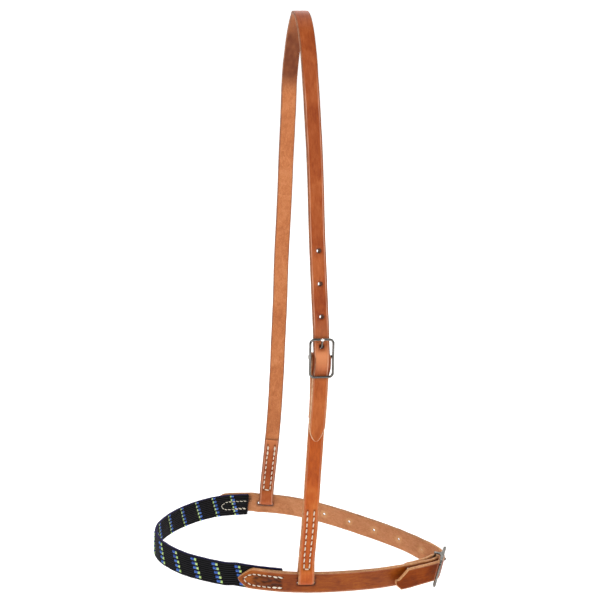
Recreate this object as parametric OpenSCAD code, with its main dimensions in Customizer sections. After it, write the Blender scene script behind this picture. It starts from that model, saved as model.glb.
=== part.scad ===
// Bitless noseband headstall: a crown strap and cheek strap hang a stiff
// woven noseband with a leather chin strap.
// Millimetres. +Z is up, +X points to the chin, +Y to the far side of the
// horse's head. The origin is the inside of the crown strap at its top.

/* [Crown and cheek straps] */
// Width of the crown strap and the cheek strap
hang_w = 15.9; // [15:0.1:17]
// Thickness of the crown and cheek leather
hang_t = 3.2; // [2.8:0.1:3.3]
// Distance between the buckle holes
hole_pitch = 31.75; // [28:0.25:34]
// Buckle holes above the one in use
spare_holes = 3; // [1:1:5]
// Diameter of a punched buckle hole
hole_d = 4.6; // [4.2:0.1:5]
// Length of the crown strap's tail below the buckle
crown_tail_len = 61.3; // [45:1:90]
// Length of leather folded back at each lower loop
loop_back_len = 72; // [60:1:84]

/* [Noseband] */
// Width of the chin leathers
chin_w = 22.7; // [21:0.1:24]
// Thickness of the chin leathers
chin_t = 3.2; // [2.8:0.1:3.3]
// Width of the woven nose band
nose_w = 25; // [24:0.5:27]
// Thickness of the woven nose band
nose_t = 3; // [2.5:0.1:3.2]
// Distance between the coloured wefts of the nose band
weft_pitch = 23; // [20:1:30]
// Length of the slot that each hanging loop passes through
slot_len = 21.5; // [21:0.1:23]
// Height of that slot
slot_h = 6.4; // [6.2:0.1:6.8]
// Length of the chin billet's tail past its buckle
chin_tail_len = 47.2; // [30:1:60]

/* [Buckles] */
// Wire diameter of both buckles
wire_d = 2.4; // [2.2:0.1:2.6]
// Cheek buckle: distance between its two end bars
cheek_buckle_len = 37; // [36:0.5:39]
// Cheek buckle: distance between its two side rails
cheek_buckle_w = 22.6; // [20:0.1:24]
// Chin buckle: distance between its two end bars
chin_buckle_len = 38; // [37:0.5:40]
// Depth of the cheek buckle's centre bar below its frame
cheek_drop = 7.4; // [7.2:0.1:8]
// Depth of the chin buckle's centre bar below its frame
chin_drop = 8; // [7.8:0.1:8.6]

/* [Stitching] */
// Pitch of the hanging straps' hand stitching
hang_stitch = 6.35; // [5:0.05:7]
// Pitch of the noseband's stitching
nose_stitch = 4.8; // [4:0.1:6]
// Thread thickness
thread = 0.9; // [0.7:0.1:1.1]

/* [Hidden] */
$fn = 32;
wr = wire_d / 2;

leather_red = [0.60, 0.33, 0.19];
leather_tan = [0.68, 0.38, 0.20];
cream = [0.88, 0.82, 0.72];
black = [0.09, 0.09, 0.10];
nickel = [0.75, 0.75, 0.76];

// The hanging straps' middle surface, from the far slot over the crown to
// the near slot.
HANG = [[-39.2, 84.7, -547], [-38, 85.5, -528], [-35, 85.5, -500],
        [-30, 85, -450], [-26.5, 83, -400], [-24, 80, -350],
        [-22, 77, -310], [-20, 72, -255], [-17, 65, -200],
        [-14.5, 56, -145], [-12, 46, -95], [-10, 37, -55], [-7, 30, -30],
        [-4, 22, -12], [-1.5, 12, -2], [0, 0, 1.6], [2.5, -12, -2],
        [5, -22, -12], [7.5, -30, -30], [9.5, -37, -55], [12, -46, -95],
        [14.5, -56, -145], [16, -65, -200], [18, -72, -255],
        [20, -77, -310], [19, -80, -350], [15.5, -84, -400],
        [12, -88, -450], [9, -91, -500], [6.5, -91.8, -530],
        [5.5, -91.4, -554.6]];
HTOP = 15;                       // index of the crown's highest point

// The noseband's middle surface in its own plane, from the far side's
// front edge of the chin, round the nose, to the chin buckle's bar.
RING = [[131.8, -1.2], [113, 15.8], [92.2, 30.8], [70.5, 44.5], [48.5, 57.5],
        [26.5, 69], [4, 78], [-18.5, 83.5], [-41, 84.7], [-63.5, 81],
        [-85, 72.5], [-105, 60], [-122, 44.5], [-136.5, 26.5],
        [-147, 7], [-153, -12], [-152.5, -29.5], [-146, -45],
        [-133.5, -59], [-117, -70.5], [-98, -78.5], [-76, -84.7],
        [-54, -89.5], [-31, -92.3], [-8, -92.6], [14.5, -90.1],
        [37, -85.4], [59, -79.4], [80, -72.5], [100, -63.8],
        [118.6, -55.2], [131, -46], [140.3, -36.5]];

// The billet's own run round the chin, through the buckle.
CHIN = [[92.2, 30.8], [113, 15.8], [131.8, -1.2], [143, -13.2], [149, -23],
        [150, -31], [149, -39], [145.2, -45.8], [139.6, -50.3],
        [124, -60.2], [109, -69.6], [97, -76], [84, -82]];

// ---- small vector functions
function unit(v) = v / norm(v);
function flat(p) = len(p) == 2 ? [p[0], p[1], 0] : p;
function cum(P, i = 0, a = 0) = i >= len(P) - 1 ? [a]
    : concat([a], cum(P, i + 1, a + norm(flat(P[i + 1] - P[i]))));
function tang(P, C, i) =
    i == 0 ? (P[1] - P[0]) / (C[1] - C[0])
    : i == len(P) - 1 ? (P[i] - P[i - 1]) / (C[i] - C[i - 1])
    : let (a = C[i] - C[i - 1], b = C[i + 1] - C[i])
      ((P[i + 1] - P[i]) / b * a + (P[i] - P[i - 1]) / a * b) / (a + b);
function seg(C, s, i = 0) =
    i >= len(C) - 2 || s < C[i + 1] ? i : seg(C, s, i + 1);
// point and direction at distance s along a smooth curve through P
function pos(P, C, s) = let (i = seg(C, s), h = C[i + 1] - C[i],
    u = (s - C[i]) / h, p = P[i], q = P[i + 1],
    m = tang(P, C, i) * h, n = tang(P, C, i + 1) * h)
    u < 0 ? p + tang(P, C, 0) * (s - C[0])
    : u > 1 ? q + tang(P, C, i + 1) * (s - C[i + 1])
    : (2*u*u*u - 3*u*u + 1) * p + (u*u*u - 2*u*u + u) * m
      + (3*u*u - 2*u*u*u) * q + (u*u*u - u*u) * n;
function dirn(P, C, s) = unit(flat(pos(P, C, s + 0.5) - pos(P, C, s - 0.5)));

HC = cum(HANG);
RC = cum(RING);
BC = cum(CHIN);
HA = HC[HTOP];                   // distance along HANG at the crown
HL = HC[len(HC) - 1];
RL = RC[len(RC) - 1];

// width direction of the hanging straps: square to the crown's arch at
// the top, along the noseband at the slots
function hang_az(s) = let (k = min(1, abs(s - HA) / 420))
    14 - (s < HA ? 13 : 7) * k * k;
function hang_w0(s) = let (a = hang_az(s), k = min(1, abs(s - HA) / 540))
    [cos(a), sin(a), -0.072 * k * k];
// local frame at s: [origin, T along, W across, N outward]
function hframe(s) = let (T = dirn(HANG, HC, s), w = hang_w0(s),
    W = unit(w - T * (T * w))) [pos(HANG, HC, s), T, W, cross(T, W)];
function rframe(s) = let (T = dirn(RING, RC, s))
    [flat(pos(RING, RC, s)), T, [0, 0, 1], [T[1], -T[0], 0]];
function bframe(s) = let (T = dirn(CHIN, BC, s))
    [flat(pos(CHIN, BC, s)), T, [0, 0, 1], [T[1], -T[0], 0]];
function frm(b, s) = b == "h" ? hframe(s) : b == "r" ? rframe(s) : bframe(s);

// place children at s: x along the strap, y across it, z outward
module at(b, s, o = 0) {
    f = frm(b, s);
    p = f[0] + f[3] * o;
    multmatrix([[f[1][0], f[2][0], f[3][0], p[0]],
                [f[1][1], f[2][1], f[3][1], p[1]],
                [f[1][2], f[2][2], f[3][2], p[2]],
                [0, 0, 0, 1]]) children();
}

// a strap: list of [s, offset, width] in the unrolled view
module strap(b, L, t) {
    n = len(L);
    pts = [for (i = [0 : n - 1])
        let (a = L[max(0, i - 1)], c = L[min(n - 1, i + 1)],
             d = unit([c[0] - a[0], c[1] - a[1]]),
             f = frm(b, L[i][0]), nn = f[1] * (-d[1]) + f[3] * d[0],
             p = f[0] + f[3] * L[i][1], w = f[2] * L[i][2] / 2)
        each [p + w + nn * t/2, p - w + nn * t/2,
              p - w - nn * t/2, p + w - nn * t/2]];
    faces = concat([[0, 1, 2, 3]],
        [for (i = [0 : n - 2]) for (k = [0 : 3]) let (j = (k + 1) % 4)
            [4*i + k, 4*(i + 1) + k, 4*(i + 1) + j, 4*i + j]],
        [[4*n - 1, 4*n - 2, 4*n - 3, 4*n - 4]]);
    polyhedron(points = pts, faces = faces, convexity = 8);
}
// straight run between two distances, offset easing from o0 to o1
function ease(u) = u * u * (3 - 2 * u);
function run(s0, s1, o0, o1, w, step = 8) =
    let (n = max(1, ceil(abs(s1 - s0) / step)))
    [for (i = [0 : n]) [s0 + (s1 - s0) * i / n,
                        o0 + (o1 - o0) * ease(i / n), w]];
// half turn about (sc, oc): from angle a0 to a1 in the unrolled view
function turn(sc, oc, r, a0, a1, w, n = 10) =
    [for (i = [1 : n - 1]) let (a = a0 + (a1 - a0) * i / n)
        [sc + r * cos(a), oc + r * sin(a), w]];
// a rounded point: widths shrink over the last length l
function point(s, o, w, l, sgn = 1) =
    [for (k = [[0.25, 0.93], [0.5, 0.78], [0.75, 0.54], [0.92, 0.30], [1, 0.14]])
        [s + sgn * l * k[0], o, w * k[1]]];

// row of stitches on a strap's face
module stitches(b, s0, s1, y, o, pitch, len0) {
    n = max(1, round(abs(s1 - s0) / pitch));
    for (i = [0 : n - 1])
        at(b, s0 + (s1 - s0) * (i + 0.5) / n, o) translate([0, y, 0])
            cube([len0, thread, thread * 0.7], center = true);
}

// ---- buckle: x along the strap, y across, z outward, centre bar at 0
module buckle(l, w, drop) {
    r = 4.2;
    translate([0, 0, drop]) {
        for (x = [-1, 1]) translate([x * l/2, 0, 0]) rotate([90, 0, 0])
            cylinder(r = wr, h = w - 2*r, center = true);
        for (y = [-1, 1]) translate([0, y * w/2, 0]) rotate([0, 90, 0])
            cylinder(r = wr, h = l - 2*r, center = true);
        for (x = [0, 1]) for (y = [0, 1]) mirror([x, 0, 0]) mirror([0, y, 0])
            translate([l/2 - r, w/2 - r, 0])
                rotate_extrude(angle = 90) translate([r, 0]) circle(r = wr);
    }
    // lugs carry the centre bar below the side rails
    for (y = [-1, 1]) translate([0, y * w/2, 0]) {
        rotate([90, 0, 0]) cylinder(r = wr + 0.5, h = 2, center = true);
        translate([0, 0, drop/2]) cube([2*wr, 2, drop], center = true);
    }
    rotate([90, 0, 0]) cylinder(r = wr, h = w, center = true);
}
// tongue: eye round the centre bar and a shank to the end bar at x = -dir
module tongue(l, drop, dir) {
    e = wr + 0.25 + 1.05;        // eye's middle radius
    zt = drop + wr + 0.55 + 1.05;
    ang = atan2(zt, l/2);
    len1 = norm([l/2, zt]);
    rotate([90, 0, 0]) rotate_extrude() translate([e, 0]) circle(r = 1.05, $fn = 20);
    mirror([dir > 0 ? 0 : 1, 0, 0]) rotate([0, -ang, 0]) {
        translate([e, 0, 0]) rotate([0, 90, 0]) cylinder(r = 1.05, h = len1 - e);
        translate([len1, 0, 0]) sphere(r = 1.5);
    }
}

// ---- hanging straps. Key distances along HANG.
gap = 0.15;                                  // between sewn layers
lay = (hang_t + gap) / 2;
U = 4.8;                                     // loop radius at the slots
bar_s = HA + 343.8;                            // cheek buckle's centre bar
half = cheek_buckle_len / 2;
over = wr + gap + hang_t + 0.25 + hang_t/2;  // crown strap over the fold
under = cheek_drop - wr - 0.6 - hang_t/2;    // crown strap under the bars
fold = wr + 0.35 + hang_t/2;                 // cheek strap round the bar
base = -2.9;                                 // cheek strap's layers at the bar
tie = bar_s + half + 4;                      // where the tail hinges
bar_o = -1.6;                                // centre bar's offset
hole_s = bar_s - 8.2;

// the cheek strap's outer layer, and the tail that lies 0.8 mm off it
function cheek_o(s) = let (a = bar_s + 26, b = HL - loop_back_len - 8)
    base + lay + (lay - base - lay) * ease((s - a) / (b - a));
function tail_o(s) = cheek_o(s) + hang_t + 0.8;

crown_main = concat(
    // far loop's inner layer, then under the slot and up outside
    run(loop_back_len + 6, 26, -lay, -lay, hang_w),
    run(24, 13, -lay, -U, hang_w, 2.2),
    [[8, -U, hang_w]],
    turn(U, 0, U, 270, 90, hang_w, 14),
    [[8, U, hang_w]],
    run(13, 24, U, lay, hang_w, 2.2),
    run(27, loop_back_len + 10, lay, lay, hang_w),
    run(loop_back_len + 20, HA - 120, lay, 0, hang_w),
    run(HA - 110, HA + 110, 0, 0, hang_w, 5),
    run(HA + 120, HA + 180, 0, 0, hang_w),
    run(HA + 190, bar_s - half - 4, 0, bar_o + under, hang_w),
    run(bar_s - half + 3, bar_s - 5, bar_o + under, bar_o + over, hang_w, 2.5),
    run(bar_s + 6, bar_s + half - 3, bar_o + over, bar_o + under, hang_w, 2.2),
    [[bar_s + half + 1.5, bar_o + under, hang_w], [tie, bar_o + under, hang_w]]);
crown_tail = concat(
    [[tie + 0.06, bar_o + under, hang_w]],
    run(tie + 4, tie + 20, bar_o + under, tail_o(tie + 20), hang_w, 4),
    [for (k = [1 : 4]) let (s = tie + 20 + k * (crown_tail_len - 34) / 4)
        [s, tail_o(s), hang_w]],
    [for (p = point(tie + crown_tail_len - 14, 0, hang_w, 14))
        [p[0], tail_o(p[0]), p[2]]]);
// cheek strap: folded round the centre bar at the top, through the near
// slot at the bottom
cheek_main = concat(
    run(bar_s + 62, bar_s + 24, base - lay, base - lay, hang_w),
    run(bar_s + 22, bar_s + 5, base - lay, bar_o - fold, hang_w, 3),
    turn(bar_s, bar_o, fold, 270, 90, hang_w, 14),
    run(bar_s + 3, bar_s + 14.5, bar_o + fold, base + lay, hang_w, 2.3),
    run(bar_s + 26, HL - loop_back_len - 8, base + lay, lay, hang_w),
    run(HL - loop_back_len, HL - 27, lay, lay, hang_w),
    run(HL - 24, HL - 13, lay, U, hang_w, 2.2),
    [[HL - 8, U, hang_w]],
    turn(HL - U, 0, U, 90, -90, hang_w, 14),
    [[HL - 8, -U, hang_w]],
    run(HL - 13, HL - 24, -U, -lay, hang_w, 2.2),
    run(HL - 27, HL - loop_back_len - 6, -lay, -lay, hang_w));

// the hole in use is drawn over along the tongue
module tongue_hole(l, drop, dir, d) {
    zt = drop + wr + 0.55 + 1.05;
    mirror([dir > 0 ? 0 : 1, 0, 0]) rotate([0, -atan2(zt, l/2), 0])
        translate([5.2, 0, 0]) rotate([0, 90, 0]) cylinder(d = d, h = 13);
}
module crown_strap() color(leather_red) difference() {
    strap("h", crown_main, hang_t);
    for (i = [1 : spare_holes])
        at("h", hole_s - i * hole_pitch, 0)
            cylinder(d = hole_d, h = 40, center = true);
    at("h", bar_s, bar_o)
        tongue_hole(cheek_buckle_len, cheek_drop, -1, hole_d);
}
module crown_strap_tail() color(leather_red) strap("h", crown_tail, hang_t);
module cheek_strap() color(leather_tan) difference() {
    strap("h", cheek_main, hang_t);
    // slot in the fold for the tongue
    at("h", bar_s, bar_o) translate([-1, 0, 0]) cube([18, 5.2, 16], center = true);
}
module cheek_buckle_frame() color(nickel)
    at("h", bar_s, bar_o) buckle(cheek_buckle_len, cheek_buckle_w, cheek_drop);
module cheek_buckle_tongue() color(nickel)
    at("h", bar_s, bar_o) tongue(cheek_buckle_len, cheek_drop, -1);

module loop_seam(s0, s1, face) {
    for (y = [-5.2, 5.2]) stitches("h", s0, s1, y, face, hang_stitch, 4.4);
    at("h", s1, face) cube([thread, 8, thread * 0.7], center = true);
}
module far_loop_seam() color(cream) {
    loop_seam(loop_back_len, 20 + 3, -lay - hang_t/2);
    loop_seam(loop_back_len, 20 + 3, lay + hang_t/2);
}
module near_loop_seam() color(cream) {
    loop_seam(HL - loop_back_len, HL - 23, lay + hang_t/2);
    loop_seam(HL - loop_back_len, HL - 23, -lay - hang_t/2);
}
module cheek_buckle_seam() color(cream) {
    loop_seam(bar_s + 57, bar_s + 24, base - lay - hang_t/2);
    for (i = [0 : 4]) let (s = bar_s + 28 + i * hang_stitch)
        for (y = [-5.2, 5.2]) at("h", s, cheek_o(s) + hang_t/2)
            translate([0, y, 0]) cube([4.4, thread, thread * 0.7], center = true);
}

// ---- noseband, built in its own plane and tipped with it
module in_ring() translate([0, 0, -551.9]) rotate([1.3, 4.35, 0]) children();
cl = (chin_t + gap) / 2;
nl = (nose_t + chin_t) / 2 + gap;            // band to leather, mid to mid
far_slot = RC[8] - 1;
near_slot = RC[24] + 14;
band_a = RC[8] + 18.5;                       // band's far cut end
band_b = RC[24] - 11;                        // band's near cut end
tip_n = RC[21] + 12;                         // near leather's pointed end
start_f = RC[10] + 8;                        // billet's end on the band
chin_fold = wr + 0.35 + chin_t/2;

nose_run = concat(
    run(band_a, tip_n - 18, 0, 0, nose_w, 7),
    run(tip_n - 12, tip_n - 1, 0, -nl, nose_w, 3),
    run(tip_n + 6, band_b, -nl, -nl, nose_w));
near_run = concat(
    [for (k = [[0, 0.14], [1.2, 0.32], [4, 0.58], [7, 0.8], [10, 0.95]])
        [tip_n + k[0], 0, chin_w * k[1]]],
    run(tip_n + 13, RL - 28, 0, 0, chin_w),
    run(RL - 24, RL - 5, 0, chin_fold, chin_w, 3),
    turn(RL, 0, chin_fold, 90, -90, chin_w, 14),
    run(RL - 5, RL - 22, -chin_fold, -2 * cl, chin_w, 3),
    run(RL - 26, RL - 41, -2 * cl, -2 * cl, chin_w, 5));
// the billet follows the ring's far side, then its own curve at the chin
billet_ring = concat(
    [for (k = [[0, 0.3], [1.5, 0.55], [4.5, 0.82], [7.5, 0.95]])
        [start_f - k[0], nl, chin_w * k[1]]],
    run(start_f - 10, band_a + 2, nl, nl, chin_w, 6),
    run(band_a - 2, band_a - 14, nl, 0, chin_w, 3),
    run(band_a - 18, RC[2] + 0.5, 0, 0, chin_w));
chin_tie = BC[8] + 1.5;
billet_chin = run(0.5, chin_tie, 0, 0, chin_w, 4);
chin_tail = concat(
    run(chin_tie + 0.35, chin_tie + chin_tail_len - 12, 0, 0, chin_w, 4),
    point(chin_tie + chin_tail_len - 12, 0, chin_w, 12));

module slot(s) at("r", s, 0) cube([slot_len, slot_h, 14], center = true);
// one sweep for the whole billet: ring part in ring distances, reversed
module billet_solid() {
    A = [for (e = billet_ring) let (f = rframe(e[0]))
            [f[0] + f[3] * e[1], -f[1], f[3], e[2]]];
    B = [for (e = billet_chin) let (f = bframe(e[0]))
            [f[0] + f[3] * e[1], f[1], f[3], e[2]]];
    L = concat(A, B);
    n = len(L);
    pts = [for (i = [0 : n - 1])
        let (a = L[max(0, i - 1)][0], c = L[min(n - 1, i + 1)][0],
             d = unit(c - a), q = [-d[1], d[0], 0],
             w = [0, 0, L[i][3] / 2], p = L[i][0])
        each [p + w + q * chin_t/2, p - w + q * chin_t/2,
              p - w - q * chin_t/2, p + w - q * chin_t/2]];
    faces = concat([[3, 2, 1, 0]],
        [for (i = [0 : n - 2]) for (k = [0 : 3]) let (j = (k + 1) % 4)
            [4*i + j, 4*(i + 1) + j, 4*(i + 1) + k, 4*i + k]],
        [[4*n - 4, 4*n - 3, 4*n - 2, 4*n - 1]]);
    polyhedron(points = pts, faces = faces, convexity = 8);
}
// chin buckle's place: centre bar, lying square to the chin
buckle_at = RING[len(RING) - 1];
module at_chin() {
    translate([buckle_at[0], buckle_at[1], 0]) rotate([0, 0, 75.8])
        rotate([90, 0, 0]) children();
}

module nose_band() color(black) in_ring() strap("r", nose_run, nose_t);
module wefts(k) {
    n = floor((tip_n - band_a - 9) / weft_pitch);
    for (i = [0 : n]) let (s = band_a + 17 + i * weft_pitch)
        for (f = i == 0 || s > tip_n - 3 ? [-1] : [-1, 1])
        at("r", s + k * 3.2, f * (nose_t/2 + 0.15)
           - nl * max(0, min(1, (s + k * 3.2 - tip_n + 12) / 11)))
            rotate([0, 0, f * 20]) cube([2.8, nose_w - 1.8, 0.5], center = true);
}
module blue_weft() color([0.22, 0.40, 0.75]) in_ring() wefts(0);
module lime_weft() color([0.75, 0.88, 0.50]) in_ring() wefts(1);
module near_nose_strap() color(leather_tan) in_ring() difference() {
    strap("r", near_run, chin_t);
    slot(near_slot);
    // slot in the fold for the tongue
    at("r", RL, 0) translate([-1, 0, 0]) cube([18, 5.2, 16], center = true);
}
module chin_billet() color(leather_red) in_ring() difference() {
    billet_solid();
    slot(far_slot);
    for (i = [0 : 2]) at("r", RC[2] + 10.75 + i * hole_pitch, 0)
        cylinder(d = hole_d, h = 12, center = true);
    for (i = [1 : 2]) at("b", 84.5 - i * hole_pitch, 0)
        cylinder(d = hole_d, h = 12, center = true);
    at_chin() tongue_hole(chin_buckle_len, chin_drop, 1, hole_d);
}
module chin_billet_tail() color(leather_red) in_ring() strap("b", chin_tail, chin_t);
module chin_buckle_frame() color(nickel) in_ring() at_chin()
    buckle(chin_buckle_len, chin_w + 6.4, chin_drop);
module chin_buckle_tongue() color(nickel) in_ring() at_chin()
    tongue(chin_buckle_len, chin_drop, 1);

module near_nose_seam() color(cream) in_ring() {
    for (y = [-7.6, 7.6])
        stitches("r", tip_n + 10, band_b + 2, y, chin_t/2, nose_stitch, 3.4);
    for (y = [-1, 1]) for (k = [0.35, 0.8])
        at("r", tip_n + 4 + 6 * k, chin_t/2) translate([0, y * 6.6 * k, 0])
            rotate([0, 0, y * 45]) cube([3.4, thread, thread * 0.7], center = true);
}
module far_nose_seam() color(cream) in_ring() {
    for (y = [-5.2, 5.2])
        stitches("r", band_a + 3, start_f - 7, y, -nose_t/2, nose_stitch * 0.85, 2.6);
    at("r", start_f - 4.5, -nose_t/2) cube([thread, 7, thread * 0.7], center = true);
}
module chin_buckle_seam() color(cream) in_ring() {
    for (y = [-7.6, 7.6])
        stitches("r", RL - 25, RL - 39.5, y, chin_t/2, nose_stitch, 3.4);
    for (y = [-7.6, 7.6])
        stitches("r", RL - 25, RL - 39.5, y, -2*cl - chin_t/2, nose_stitch, 3.4);
}

crown_strap();
crown_strap_tail();
cheek_strap();
cheek_buckle_frame();
cheek_buckle_tongue();
far_loop_seam();
near_loop_seam();
cheek_buckle_seam();
nose_band();
blue_weft();
lime_weft();
near_nose_strap();
chin_billet();
chin_billet_tail();
chin_buckle_frame();
chin_buckle_tongue();
near_nose_seam();
far_nose_seam();
chin_buckle_seam();
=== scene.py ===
import math

import bpy
import numpy as np
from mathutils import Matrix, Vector


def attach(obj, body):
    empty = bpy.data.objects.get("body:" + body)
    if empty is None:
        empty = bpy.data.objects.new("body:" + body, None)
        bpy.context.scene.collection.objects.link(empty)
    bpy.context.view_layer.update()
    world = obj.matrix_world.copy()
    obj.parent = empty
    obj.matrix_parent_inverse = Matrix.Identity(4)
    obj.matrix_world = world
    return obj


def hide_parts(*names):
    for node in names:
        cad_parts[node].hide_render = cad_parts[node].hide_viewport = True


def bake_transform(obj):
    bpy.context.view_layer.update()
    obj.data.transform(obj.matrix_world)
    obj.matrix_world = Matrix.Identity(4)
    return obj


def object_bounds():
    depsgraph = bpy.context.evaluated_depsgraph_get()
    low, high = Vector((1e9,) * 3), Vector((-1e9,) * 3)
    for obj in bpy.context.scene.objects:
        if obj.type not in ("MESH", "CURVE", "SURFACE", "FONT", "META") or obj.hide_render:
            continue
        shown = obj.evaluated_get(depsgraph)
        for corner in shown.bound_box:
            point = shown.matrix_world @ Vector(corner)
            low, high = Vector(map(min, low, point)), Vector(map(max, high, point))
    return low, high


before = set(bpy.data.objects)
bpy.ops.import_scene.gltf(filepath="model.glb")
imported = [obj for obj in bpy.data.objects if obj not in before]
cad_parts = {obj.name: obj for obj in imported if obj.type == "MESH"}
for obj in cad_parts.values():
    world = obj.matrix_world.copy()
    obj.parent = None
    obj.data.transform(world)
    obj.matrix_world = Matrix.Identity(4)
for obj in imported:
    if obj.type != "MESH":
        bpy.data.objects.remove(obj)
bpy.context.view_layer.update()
scene = bpy.context.scene

# ------------------------------------------------------------------ camera
cam_data = bpy.data.cameras.new("camera")
cam_data.lens = 69.0
cam_data.sensor_width = 36.0
cam_data.clip_start, cam_data.clip_end = 0.01, 60.0
cam = bpy.data.objects.new("camera", cam_data)
cam.location = (0.0, -1.1437, 0.0012)
cam.rotation_euler = (math.radians(90 - 14.034), 0, 0)
scene.collection.objects.link(cam)
scene.camera = cam

# ------------------------------------------------------------------ curves
# The design's own curves and distances, in millimetres.
HANG = [[-39.2, 84.7, -547], [-38, 85.5, -528], [-35, 85.5, -500],
        [-30, 85, -450], [-26.5, 83, -400], [-24, 80, -350],
        [-22, 77, -310], [-20, 72, -255], [-17, 65, -200],
        [-14.5, 56, -145], [-12, 46, -95], [-10, 37, -55], [-7, 30, -30],
        [-4, 22, -12], [-1.5, 12, -2], [0, 0, 1.6], [2.5, -12, -2],
        [5, -22, -12], [7.5, -30, -30], [9.5, -37, -55], [12, -46, -95],
        [14.5, -56, -145], [16, -65, -200], [18, -72, -255],
        [20, -77, -310], [19, -80, -350], [15.5, -84, -400],
        [12, -88, -450], [9, -91, -500], [6.5, -91.8, -530],
        [5.5, -91.4, -554.6]]
RING = [[131.8, -1.2], [113, 15.8], [92.2, 30.8], [70.5, 44.5], [48.5, 57.5],
        [26.5, 69], [4, 78], [-18.5, 83.5], [-41, 84.7], [-63.5, 81],
        [-85, 72.5], [-105, 60], [-122, 44.5], [-136.5, 26.5],
        [-147, 7], [-153, -12], [-152.5, -29.5], [-146, -45],
        [-133.5, -59], [-117, -70.5], [-98, -78.5], [-76, -84.7],
        [-54, -89.5], [-31, -92.3], [-8, -92.6], [14.5, -90.1],
        [37, -85.4], [59, -79.4], [80, -72.5], [100, -63.8],
        [118.6, -55.2], [131, -46], [140.3, -36.5]]
CHIN = [[92.2, 30.8], [113, 15.8], [131.8, -1.2], [143, -13.2], [149, -23],
        [150, -31], [149, -39], [145.2, -45.8], [139.6, -50.3],
        [124, -60.2], [109, -69.6], [97, -76], [84, -82]]


def unit(v):
    v = np.asarray(v, float)
    return v / np.maximum(np.linalg.norm(v, axis=-1, keepdims=True), 1e-12)


class Curve:
    def __init__(self, pts):
        p = np.array(pts, float)
        if p.shape[1] == 2:
            p = np.hstack([p, np.zeros((len(p), 1))])
        self.p = p
        self.c = np.concatenate([[0], np.cumsum(np.linalg.norm(np.diff(p, axis=0), axis=1))])
        c, n = self.c, len(p)
        t = np.zeros_like(p)
        t[0] = (p[1] - p[0]) / (c[1] - c[0])
        t[-1] = (p[-1] - p[-2]) / (c[-1] - c[-2])
        for i in range(1, n - 1):
            a, b = c[i] - c[i - 1], c[i + 1] - c[i]
            t[i] = ((p[i + 1] - p[i]) / b * a + (p[i] - p[i - 1]) / a * b) / (a + b)
        self.t = t

    def pos(self, s):
        s = np.atleast_1d(np.asarray(s, float))
        c, p, t = self.c, self.p, self.t
        i = np.clip(np.searchsorted(c, s, "right") - 1, 0, len(p) - 2)
        h = (c[i + 1] - c[i])[:, None]
        u = (s[:, None] - c[i][:, None]) / h
        m, n = t[i] * h, t[i + 1] * h
        q = ((2*u**3 - 3*u**2 + 1) * p[i] + (u**3 - 2*u**2 + u) * m
             + (3*u**2 - 2*u**3) * p[i + 1] + (u**3 - u**2) * n)
        q = np.where(u < 0, p[i] + t[i] * (s[:, None] - c[i][:, None]), q)
        return np.where(u > 1, p[i + 1] + t[i + 1] * (s[:, None] - c[i + 1][:, None]), q)

    def dir(self, s):
        s = np.atleast_1d(np.asarray(s, float))
        return unit(self.pos(s + 0.5) - self.pos(s - 0.5))


HC, RC, BC = Curve(HANG), Curve(RING), Curve(CHIN)
HA, HL, RL = HC.c[15], HC.c[-1], RC.c[-1]

hang_w, hang_t, chin_w, chin_t, nose_w, nose_t = 15.9, 3.2, 22.7, 3.2, 25.0, 3.0
wire, hole_pitch, slot_len, slot_h = 2.4, 31.75, 21.5, 6.4
wr, gap = wire / 2, 0.15
lay, U = (hang_t + gap) / 2, 4.8
cheek_len, cheek_w, cheek_drop = 37.0, 22.6, 7.4
chin_len, chin_bw, chin_drop = 38.0, chin_w + 6.4, 8.0
bar_s, half = HA + 343.8, cheek_len / 2
over = wr + gap + hang_t + 0.25 + hang_t / 2
under = cheek_drop - wr - 0.6 - hang_t / 2
fold = wr + 0.35 + hang_t / 2
base, bar_o = -2.9, -1.6
tie, hole_s = bar_s + half + 4, bar_s - 8.2
loop_back, crown_tail_len, chin_tail_len = 72.0, 61.3, 47.2
cl, nl = (chin_t + gap) / 2, (nose_t + chin_t) / 2 + gap
far_slot, near_slot = RC.c[8] - 1, RC.c[24] + 14
band_a, band_b = RC.c[8] + 18.5, RC.c[24] - 11
tip_n, start_f = RC.c[21] + 12, RC.c[10] + 8
chin_fold = wr + 0.35 + chin_t / 2
chin_tie = BC.c[8] + 1.5


def hframe(s):
    s = np.atleast_1d(np.asarray(s, float))
    t = HC.dir(s)
    k = np.minimum(1, np.abs(s - HA) / 420)
    a = np.radians(14 - np.where(s < HA, 13, 7) * k * k)
    k2 = np.minimum(1, np.abs(s - HA) / 540)
    w0 = np.stack([np.cos(a), np.sin(a), -0.072 * k2 * k2], 1)
    w = unit(w0 - t * (t * w0).sum(1, keepdims=True))
    return HC.pos(s), t, w, np.cross(t, w)


def flatframe(curve):
    def f(s):
        s = np.atleast_1d(np.asarray(s, float))
        t = curve.dir(s)
        w = np.tile([0.0, 0, 1], (len(s), 1))
        return curve.pos(s), t, w, np.stack([t[:, 1], -t[:, 0], 0 * s], 1)
    return f


rframe, bframe = flatframe(RC), flatframe(BC)
RA, RB = math.radians(4.35), math.radians(1.3)
RMAT = (np.array([[math.cos(RA), 0, math.sin(RA)], [0, 1, 0], [-math.sin(RA), 0, math.cos(RA)]])
        @ np.array([[1, 0, 0], [0, math.cos(RB), -math.sin(RB)], [0, math.sin(RB), math.cos(RB)]]))


def in_ring(p):
    return np.asarray(p) @ RMAT.T + np.array([0, 0, -551.9])


def lean(v):
    """The chin end of the noseband leans out a little at its top edge."""
    v = np.array(v, float)
    q = (v - np.array([0, 0, -551.9])) @ RMAT
    k = ease((q[:, 0] - 112) / 28) * math.tan(math.radians(8.0))
    v[:, 0] += (q[:, 2] - 4.0) * k
    return v


def ease(u):
    u = np.clip(u, 0, 1)
    return u * u * (3 - 2 * u)


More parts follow.
